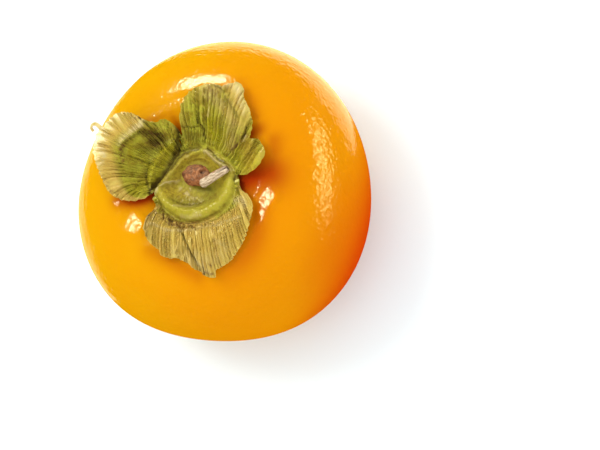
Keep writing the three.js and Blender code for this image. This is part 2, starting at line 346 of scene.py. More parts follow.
def calyx_material(looks):
    """Leafy green by the stem, papery and ribbed towards the edges, with brown and creamy dry places, painted
    highlights and glints, lighter green that is partly painted light, and painted shade and shadow in the
    creases and under the folds.
    """
    leaf = Shader("persimmon_calyx")
    fine = leaf.noise(1100.0, 2.0, 0.6)
    patch = leaf.spread(leaf.noise(420.0, 4.0, 0.65), 0.38, 0.62)
    grain = leaf.stretched(1.0, 0.4)
    threads = leaf.stretched(2.2, 0.25, 2.0)
    rib = leaf.spread(leaf.mask("fibre"), -0.6, 0.7)
    streak = leaf.math("ADD", leaf.math("MULTIPLY", rib, 0.35), leaf.math("MULTIPLY", threads, 0.9))
    streak = leaf.spread(streak, 0.25, 1.05)
    green = leaf.mix(patch, looks.olive, looks.leaf_green)
    green = leaf.mix(leaf.math("MULTIPLY", leaf.spread(grain, 0.45, 0.7), 0.25), green, looks.light_green)
    green = leaf.mix(leaf.math("MULTIPLY", leaf.spread(threads, 0.5, 0.32), 0.1), green, looks.olive)
    # Lighter green, partly painted light on the roll and the lobes, and along the lobes' edges.
    green = leaf.mix(leaf.mask("light"), green, looks.light_green)
    paper = leaf.mix(streak, looks.tan, looks.straw)
    dry = leaf.math("MULTIPLY", leaf.mask("papery"), leaf.math("ADD", grain, 0.5), clamp=True)
    colour = leaf.mix(dry, green, paper)
    khaki = leaf.mix(leaf.spread(fine, 0.35, 0.6), looks.khaki_shade, looks.khaki)
    colour = leaf.mix(leaf.mask("khaki"), colour, khaki)
    spots = leaf.spread(fine, 0.36, 0.6)
    spots = leaf.math("ADD", spots, leaf.math("MULTIPLY", leaf.spread(threads, 0.5, 0.3), 0.6))
    colour = leaf.mix(leaf.math("MULTIPLY", leaf.mask("brown"), spots, clamp=True), colour, looks.brown)
    specks = leaf.math("MULTIPLY", leaf.spread(leaf.noise(2400.0, 2.0), 0.58, 0.7), 0.5)
    colour = leaf.mix(specks, colour, looks.tan)
    # Creamy dry edges, and painted highlights and glints on the crests, folds, the groove's edge and the
    # collar's roll.
    bleached_and_glints = leaf.math("MULTIPLY", leaf.mask("pale"), leaf.spread(threads, 0.3, 0.55), clamp=True)
    colour = leaf.mix(bleached_and_glints, colour, looks.cream_and_glint)
    # Painted shade and shadow.
    colour = leaf.mix(leaf.mask("shade"), colour, looks.crease_shade)
    relief = leaf.math("MULTIPLY", threads, leaf.math("ADD", dry, 0.15))
    height = leaf.math("ADD", relief, leaf.math("MULTIPLY", fine, 1.2))
    return leaf.finish(
        Base_Color=colour,
        Roughness=0.3,
        Normal=leaf.bump(height, 1.0, LEAF_GRAIN_DEPTH * MM),
        Specular_IOR_Level=0.035,
    )


def flecked_bark(shader, looks):
    """Brown bark, flecked with its darker brown."""
    fleck = shader.spread(shader.noise(1100.0, 4.0, 0.7), 0.35, 0.65)
    return shader.mix(fleck, looks.bark_dark, looks.bark)


def bark_material(looks):
    """Rough brown bark with darker cracks, and painted shade in its hollow."""
    bark = Shader("persimmon_bark")
    colour = flecked_bark(bark, looks)
    colour = bark.mix(bark.math("MULTIPLY", bark.mask("crack"), 0.8), colour, looks.bark_dark)
    # Painted shade in the hollow.
    colour = bark.mix(bark.mask("pit_shade"), colour, looks.pit_shade)
    normal = bark.bump(bark.noise(1800.0, 4.0, 0.7), 0.8, STEM_GRAIN_DEPTH * MM)
    return bark.finish(Base_Color=colour, Roughness=0.6, Normal=normal, Specular_IOR_Level=0.1)


def wood_material(looks):
    """Pale dry wood, streaked along the stub, with bark left along one side, and painted shade in its split
    and at the middle of its torn end.
    """
    wood = Shader("persimmon_wood")
    streak = wood.spread(wood.stretched(2.4, 0.5), 0.35, 0.65)
    colour = wood.mix(streak, looks.wood_shade, looks.wood)
    bark = flecked_bark(wood, looks)
    colour = wood.mix(wood.mask("bark_side"), colour, bark)
    # Painted shade in the split and at the torn end.
    colour = wood.mix(wood.mask("pit_shade"), colour, looks.pit_shade)
    normal = wood.bump(streak, 0.6, STEM_GRAIN_DEPTH * MM)
    return wood.finish(Base_Color=colour, Roughness=0.55, Normal=normal, Specular_IOR_Level=0.15)


# ------------------------------------------------------------------ the fruit

# The crest keeps its height at this bearing and a third of the way round to each side.
CREST_BEARING = 178
CREST_SHARE, CREST_SPREAD = 0.6, 0.2
BLUSH_AND_SHADE_START, BLUSH_AND_SHADE_END = 0.72, 1.15  # how far towards the side painted red, partly its own colour and partly painted shade, as a share of the radius
LOW_TOP, LOW_BOTTOM = 40, 8  # heights between which the skin goes from high to low
RED_SHADOW_REACH, HOLLOW_SHADE_START, HOLLOW_SHADE_END = 32, 11, 8  # reaches of the painted red shadow beside the calyx and of the painted shade in the hollow
# The shoulder starts and ends at these shares of the radius, and its low and high sides are at these heights.
SHOULDER_START, SHOULDER_END = 0.62, 0.8
LOW_SIDE, HIGH_SIDE = 24, 44
FLAT_CORE, FLAT_FADE = 0.8, 1.5  # where a flat place starts to fade, and ends, in its half sizes
# Places on the crown pressed nearly flat: middle, half sizes, the way they run, slope and the way they face.
FLATS = [
    ([342.9, 20.2], (3.7, 2.2), 57, 6.9, 160.5),
    ([331.4, 20.5], (1.9, 1.8), 57, 6.8, 158),
    ([217.2, 18.9], (2.9, 2.5), 150, 3.4, 142),
    ([198.2, 20.8], (1.0, 0.8), 150, 4.3, 144.5),
]
# Painted shadow of the calyx, where the skin is painted deep red beside it: lines of [bearing, reach,
# strength], with how far each fades.
RED_SHADOW_PLACES = [
    ([[346, 10.5, 1], [355, 12.5, 1], [1, 16, 1], [3, 20, 0.9]], 5.5, 5.0),
    ([[201, 12, 1], [201, 16, 1], [197, 20, 0.7]], 2.0, 2.2),
    ([[111, 13, 0.8], [111, 15, 0.6], [113, 17.5, 0.25]], 1.0, 1.2),
    ([[117, 18, 0.25], [126, 18.6, 0.4], [132, 19.6, 0.4]], 0.8, 0.7),
    ([[37, 18.5, 0.9], [36, 20.5, 0.6]], 1.6, 2.2),
    ([[4, 17, 0.7], [12, 21, 0.5], [24, 22.5, 0.45]], 1.5, 2.8),
    ([[337, 19, 0.5], [320, 22.3, 0.5], [305, 24.3, 0.45], [292, 25.3, 0.3]], 1.5, 3.5),
    ([[240, 21, 0.3], [262, 21.8, 0.4], [275, 24.5, 0.35]], 1.0, 2.4),
    ([[66, 26.2, 0.2], [54, 24, 0.3], [44, 21.8, 0.4]], 1.0, 1.8),
]


def press_flats(points):
    """Press the crown's flat places, each into a plane that fades into the skin round it."""
    crown = points[:, 2] > WAIST_HEIGHT
    for middle, sizes, way, slope, facing in FLATS:
        offset = points[:, :2] - planar([middle])[0]
        turn, lean = math.radians(way), math.radians(facing)
        along = offset @ [math.cos(turn), math.sin(turn)] / sizes[0]
        across = offset @ [-math.sin(turn), math.cos(turn)] / sizes[1]
        distance = (np.abs(along) ** 3 + np.abs(across) ** 3) ** (1 / 3)
        level = points[np.argmin(np.where(crown, distance, np.inf)), 2]
        plane = level - math.tan(math.radians(slope)) * (offset @ [math.cos(lean), math.sin(lean)])
        points[:, 2] = blend(points[:, 2], plane, crown * step(FLAT_FADE, FLAT_CORE, distance))


def skin_masks(points, looks):
    """Where the skin turns orange and red, partly its own colour and partly painted shade where it turns from
    the light; where it is paler low down, partly a painted sheen; where the calyx's shadow is painted deep
    red; where it is scarred; and where its pores are deeper or fainter.
    """
    height, reach = points[:, 2], np.hypot(points[:, 0], points[:, 1])
    direction = np.radians(looks.blush_and_shade_bearing)
    side = (points[:, 0] * math.cos(direction) + points[:, 1] * math.sin(direction)) / LONG_RADIUS
    low = step(LOW_TOP, LOW_BOTTOM, height)
    crown = height > WAIST_HEIGHT
    red = np.zeros(len(points))
    inner = crown & (reach < RED_SHADOW_REACH)
    red[inner] = np.max([stroke(points[inner, :2], *line) for line in RED_SHADOW_PLACES], axis=0)
    shoulder = step(SHOULDER_START, SHOULDER_END, reach / LONG_RADIUS)
    return {
        # Orange and red towards one side and low down: partly the skin's own colour, partly painted shade
        # where it turns from the light.
        "ripe_and_shade": np.clip(step(-0.9, 0.7, side) * 0.8 + 0.35 * low, 0, 1),
        "blush_and_shade": step(BLUSH_AND_SHADE_START, BLUSH_AND_SHADE_END, side + 0.28 * low),
        # Deep red beside the calyx and in the hollow under it: painted shadow and shade.
        "hollow": np.maximum(red, crown * step(HOLLOW_SHADE_START, HOLLOW_SHADE_END, reach)),
        "shoulder": shoulder * blend(-0.4, 1.0, step(LOW_SIDE, HIGH_SIDE, height)),
        # Paler low on the far side: partly a pale waxy coat, partly a painted sheen.
        "bloom_and_sheen": 0.35 * low * step(0.1, -0.9, side),
        "scar": (height < WAIST_HEIGHT) * step(1.2 * looks.scar_size, 0.5 * looks.scar_size, reach),
    }


def build_fruit(looks):
    """A closed globe of rings, from the dimple at the base over the waist to the hollow at the top."""
    rings, round_count = looks.rings, looks.round_count
    angle = np.linspace(-math.pi / 2, math.pi / 2, rings + 1)[1:-1]
    share = np.cos(angle) ** (2 / FULLNESS)
    height = np.where(angle < 0, base_height(share), crown_height(share))
    bearing = np.arange(round_count) * 360 / round_count
    share_grid, bearing_grid = np.meshgrid(share, bearing, indexing="ij")
    height_grid = np.repeat(height[:, None], round_count, 1)
    turn = np.radians(bearing_grid)
    crown_side = height_grid > WAIST_HEIGHT
    # The crown's crest lies a little lower on three sides.
    dips = 0.5 - 0.5 * np.cos(3 * (turn - math.radians(CREST_BEARING)))
    dips = dips * bell(share_grid - CREST_SHARE, CREST_SPREAD)
    height_grid = height_grid - looks.crown_dip * dips * crown_side
    # Soft, low swells, which fade out under the calyx and where the fruit stands.
    swell = np.sin(3 * turn + 0.09 * height_grid + 1.1) + np.sin(5 * turn - 0.13 * height_grid + 4.0)
    swell = swell * looks.unevenness * step(0.7, 0.95, share_grid)
    radius = plan_radius(bearing_grid) * share_grid + swell
    body = np.stack([radius * np.cos(turn), radius * np.sin(turn), height_grid], -1).reshape(-1, 3)
    scar_rise = 0.35 * looks.scar_size
    points = np.vstack([body, [0, 0, DIMPLE_DEPTH - scar_rise], [0, 0, float(crown_height(np.float64(0)))]])
    press_flats(points)
    faces = ring_faces(rings - 1, round_count)
    base, top, last = len(body), len(body) + 1, (rings - 2) * round_count
    faces += [(base, (i + 1) % round_count, i) for i in range(round_count)]
    faces += [(top, last + i, last + (i + 1) % round_count) for i in range(round_count)]
    piece = make_mesh("persimmon_fruit", points, faces, skin_masks(points, looks))
    finish_piece(piece, skin_material(looks), "fruit")


# ------------------------------------------------------------------ the calyx

LEAST_LIFT = 0.75  # of a lobe's upper face from the skin
TEETH, FINE_TEETH = 46, 120  # notches along a lobe's edge
EDGE_THINNESS = 0.45  # a lobe's thickness at its edge, as a share of the thickness at its foot
EDGE_PAINTED_LIGHT, EDGE_START, EDGE_END = 0.6, 0.955, 0.985  # how strong the painted light along a lobe's edge is, and how far in it lies
RIB_WIDTH, BLADE_LENGTH = 0.2, 20  # on the grain's map
# Each lobe grows from a stretch of the disc's rim, with so many columns of points, its ribs, and so many
# fibres, which run along a bearing by the share that follows it and fan out for the rest. Papery gives,
# for places across the lobe, how far out its dry part starts, and how wide the change is. Ragged is how
# far the notches in its edge reach, and ribbing is the fibres' relief and how far out it starts. Crest
# and folds are lines of [bearing, reach, height], with how far each one fades inward and outward.
# Overhang is how far the crest leans over the pocket behind it.
LOBES = {
    "top": {
        "rim": (3, 115),
        "ribs": 150,
        "fibres": 30,
        "along_lobe": (84, 0.5),
        "papery": ([[0, 0.95], [0.3, 0.95], [0.5, 0.85], [0.62, 0.65], [0.8, 0.75], [1, 0.85]], 0.6),
        "dryness": 1.0,
        "ragged": 0.1,
        "overhang": 0.3,
        "ribbing": (0.05, 0.2),
        "outline": [
            [1.6, 12.8], [2.2, 15.3], [4.6, 17.4], [8.6, 18.9], [13, 20.1], [17.4, 20.6], [22.3, 20.4],
            [26.6, 19.9], [28.4, 19.1], [30, 18.2], [34.2, 18.8], [37.2, 20], [43.1, 21.3], [49.4, 22.5],
            [56.5, 23.9], [58.3, 24.9], [61.3, 26.1], [64.5, 26.2], [66.2, 25.5], [68.6, 24.4],
            [70.3, 23.7], [75, 23.7], [82.3, 23.4], [89, 22.4], [94.3, 21.2], [97.8, 19.5], [99.8, 17.9],
            [102.5, 16.3], [104.2, 14.2], [105, 12.8], [107, 11.7], [110, 10.3], [114.4, 9.4],
        ],
        "crest": [
            [5, 12.2, 0], [20, 14.6, 1], [34, 12.6, 0.4], [52, 14.4, 0.7],
            [70, 15.4, 0.7], [90, 13.4, 0.9], [111, 10.8, 0.2],
        ],
        "crest_fade": (3, 4),
        "folds": [
            ([[88, 17, 0.6], [83, 21, 1]], 4, 4),
            ([[66, 24.5, 1.6], [58, 22, 1.6], [46, 20, 1.4], [38, 17, 1]], 3, 3),
            ([[84, 24, 0.3], [74, 24, 1.4], [66, 25.5, 0.6]], 2, 2),
            ([[31, 17.5, 1.2], [22, 19, 2], [12, 17.5, 1.8], [6, 14, 1]], 3.5, 3),
            ([[103, 18, 1], [105, 13, 0.4]], 2.5, 1.8),
            ([[86, 20.5, -0.5], [87, 16, -0.9], [83, 13.7, -0.9],
              [78, 11.2, -0.6], [78, 9.4, -0.3]], 0.7, 0.7),
            ([[107, 13.4, -0.3], [97, 12.6, -0.6], [87, 12.6, -0.6], [79, 12.3, -0.3]], 0.5, 0.6),
            ([[40, 19, -0.5], [35, 17.3, -0.8], [35, 15.2, -0.7], [33, 11.9, -0.4]], 0.8, 0.8),
            ([[74, 23, 0.7], [68, 22, 0.8], [59, 20.5, 0.7], [49, 19.6, 0.4]], 0.5, 0.5),
            ([[73, 18.5, 0.4], [75, 15, 0.5], [70, 12, 0.3]], 1.1, 1.1),
        ],
    },
    "left": {
        "rim": (117, 198),
        "ribs": 170,
        "fibres": 36,
        "along_lobe": (158, 0.0),
        "papery": ([[0, 1.3], [0.14, 1.05], [0.28, 0.5], [0.74, 0.5], [0.86, 0.6], [1, 0.9]], 0.14),
        "dryness": 0.95,
        "ragged": 0.2,
        "overhang": 0.9,
        "ribbing": (0.05, 0.42),
        "outline": [
            [117.4, 9.5], [113.6, 10.6], [109.4, 11.8], [109.4, 12.9], [111.7, 14.1], [113.9, 15.1],
            [116.6, 16], [119.5, 16.4], [122.8, 16.3], [126.4, 16.6], [129.3, 17.2], [131.4, 18.2],
            [132.9, 20.2], [135.9, 22.7], [139, 24.9], [143.7, 27.4], [148.1, 28], [152.1, 28.8],
            [155, 30.8], [157.8, 30.9], [163, 29.2], [167.8, 27.6], [171.7, 25.8], [176.5, 24.2],
            [181.2, 23], [186, 22.2], [189.9, 21.6], [194.5, 20.3], [198.1, 18.9], [202, 16.3],
            [202.7, 14], [201.5, 12.1],
        ],
        "crest": [
            [116, 10.8, 0.4], [118, 13.6, 1.2], [126, 15.2, 2.4], [133.8, 17, 4.8],
            [145.8, 17.3, 6.3], [156.4, 18.6, 6.6], [162.3, 18.3, 6.2], [169.7, 17.9, 5.2],
            [176.9, 17.7, 3.6], [183.7, 16.7, 2.1], [192, 15.2, 0.8], [199, 12.1, 0.3],
        ],
        "crest_fade": (2.4, 8),
        "folds": [
            ([[122, 10.3, 1.1], [150, 10.2, 1.4], [180, 10.8, 1.1], [194, 12.4, 0.6]], 1.0, 1.4),
            ([[134, 17.8, 0.6], [128, 17.6, 0.9], [122, 17.2, 0.8],
              [114, 15.4, 0.8], [114, 13.0, 0.8], [117, 11, 0.6]], 0.8, 0.5),
            ([[116, 11.2, 0.5], [132, 9.7, 0.7], [155, 9.0, 0.7],
              [174, 9.5, 0.7], [188, 10.7, 0.5]], 0.45, 0.45),
            ([[160, 12.8, -0.4], [172, 12.5, -0.6], [184, 12.1, -0.6], [195, 11.8, -0.3]], 0.6, 0.6),
            ([[172, 16.6, 0.6], [164, 14.2, 0.5]], 0.7, 0.7),
            ([[182, 15.8, 0.5], [178, 13.4, 0.4]], 0.6, 0.6),
            ([[152, 15.2, 0.4], [148, 12.4, 0.5]], 0.6, 0.6),
        ],
    },
    "bottom": {
        "rim": (204, 358),
        "ribs": 240,
        "fibres": 44,
        "along_lobe": (279, 0.55),
        "papery": ([[0, 0.6], [0.08, 0.35], [0.18, 0.0], [0.72, 0.0], [0.84, 0.2], [1, 0.5]], 0.2),
        "dryness": 0.85,
        "ragged": 0.16,
        "overhang": 0.0,
        "ribbing": (0.055, 0.1),
        "outline": [
            [206, 10.4], [214, 10.6], [220, 11.8], [221.8, 13.1], [222.9, 14.2], [224.9, 15.8],
            [230.9, 17.5], [234.9, 18.6], [240.4, 19.3], [248.4, 19.8], [252.9, 20.8], [258.4, 21.1],
            [264.4, 20.8], [269.8, 21.4], [274, 22.7], [277.2, 23.7], [280.4, 24.6], [281.4, 25.4],
            [285, 26.1], [287.4, 25.6], [288.1, 24.4], [292.9, 24.3], [300.3, 23.7], [309.2, 22.3],
            [318, 20.8], [326.2, 19.7], [330.3, 19.2], [334.3, 18.4], [339.2, 17.2], [342.9, 15.6],
            [346.2, 13.4], [352, 11.8],
        ],
        "crest": [
            [206, 11.1, 0.3], [218, 11.3, 0.5], [230, 14, 0.9], [250, 14.1, 1.3], [272, 13.7, 1.5],
            [295, 14.2, 1.4], [318, 15.6, 0.9], [335, 15, 0.5], [351, 12, 0.2],
        ],
        "crest_fade": (1.6, 5),
        "folds": [
            ([[216, 14, 0.5], [226, 18, 0.9]], 2, 2),
            ([[283, 25.4, 1.2], [283, 22, 0.3]], 1.5, 1.5),
            ([[338, 15.4, 0.5], [326, 17.6, 0.5]], 2.0, 2.0),
            ([[226, 11.9, 0.4], [253, 12.2, 0.6], [284, 11.8, 0.6], [300, 11.6, 0.3]], 0.5, 0.5),
            ([[259, 13, -0.3], [268, 16, -0.9], [273, 19, -0.9], [278, 22.5, -0.5]], 0.6, 0.9),
            ([[263, 13.6, 0.1], [272, 16.4, 0.6], [277, 19.4, 0.6], [281, 22.6, 0.4]], 0.7, 0.7),
            ([[294, 15.5, 0.1], [297, 19, 0.5], [296, 22.5, 0.4]], 1.2, 1.2),
            ([[310, 14.5, -0.1], [309, 18, -0.5], [305, 21.5, -0.4]], 0.8, 0.8),
        ],
    },
}

# The disc's own creases and ridges, as the lobes' folds are.
DISC_FOLDS = [
    ([[214, 8.8, -0.2], [227, 7.8, -0.7], [243, 7.1, -0.9],
      [262, 6.4, -0.9], [280, 6.1, -0.5], [300, 6.4, -0.2]], 0.8, 0.5),
    ([[236, 8.6, 0.3], [252, 8.2, 0.7], [272, 7.8, 0.6], [292, 7.4, 0.4], [312, 7.6, 0.1]], 0.7, 1.1),
    ([[262, 10.4, -0.2], [272, 9.2, -0.5], [286, 8.6, -0.4], [300, 8.8, -0.1]], 0.5, 0.5),
    ([[312, 10.6, -0.1], [318, 9.2, -0.4], [322, 7.6, -0.3]], 0.7, 0.7),
    ([[240, 10.6, -0.1], [246, 9.4, -0.4], [256, 8.8, -0.2]], 0.4, 0.4),
    ([[199, 10.8, 0.5], [193, 8.5, 0.7], [187, 7.1, 0.7], [179, 4.8, 0.4]], 0.3, 0.45),
    ([[180, 7.4, 0.4], [161, 6.3, 0.5], [125, 6.2, 0.5], [100, 6.4, 0.55], [84, 6.9, 0.5]], 0.6, 0.4),
    ([[138, 5.2, 0.2], [118, 5.3, 0.5], [100, 5.4, 0.5], [78, 5.6, 0.5], [58, 5.3, 0.3]], 0.24, 0.24),
    ([[136, 4.4, 0.2], [118, 4.4, 0.3], [100, 4.5, 0.3], [77, 4.7, 0.2]], 0.2, 0.2),
    ([[76, 7.3, 0.4], [69, 7.4, 1.1], [60, 7.1, 1.2], [48, 6.9, 1.1],
      [35, 7.2, 1.1], [20, 8.6, 0.8], [8, 10.2, 0.3]], 0.45, 0.35),
]

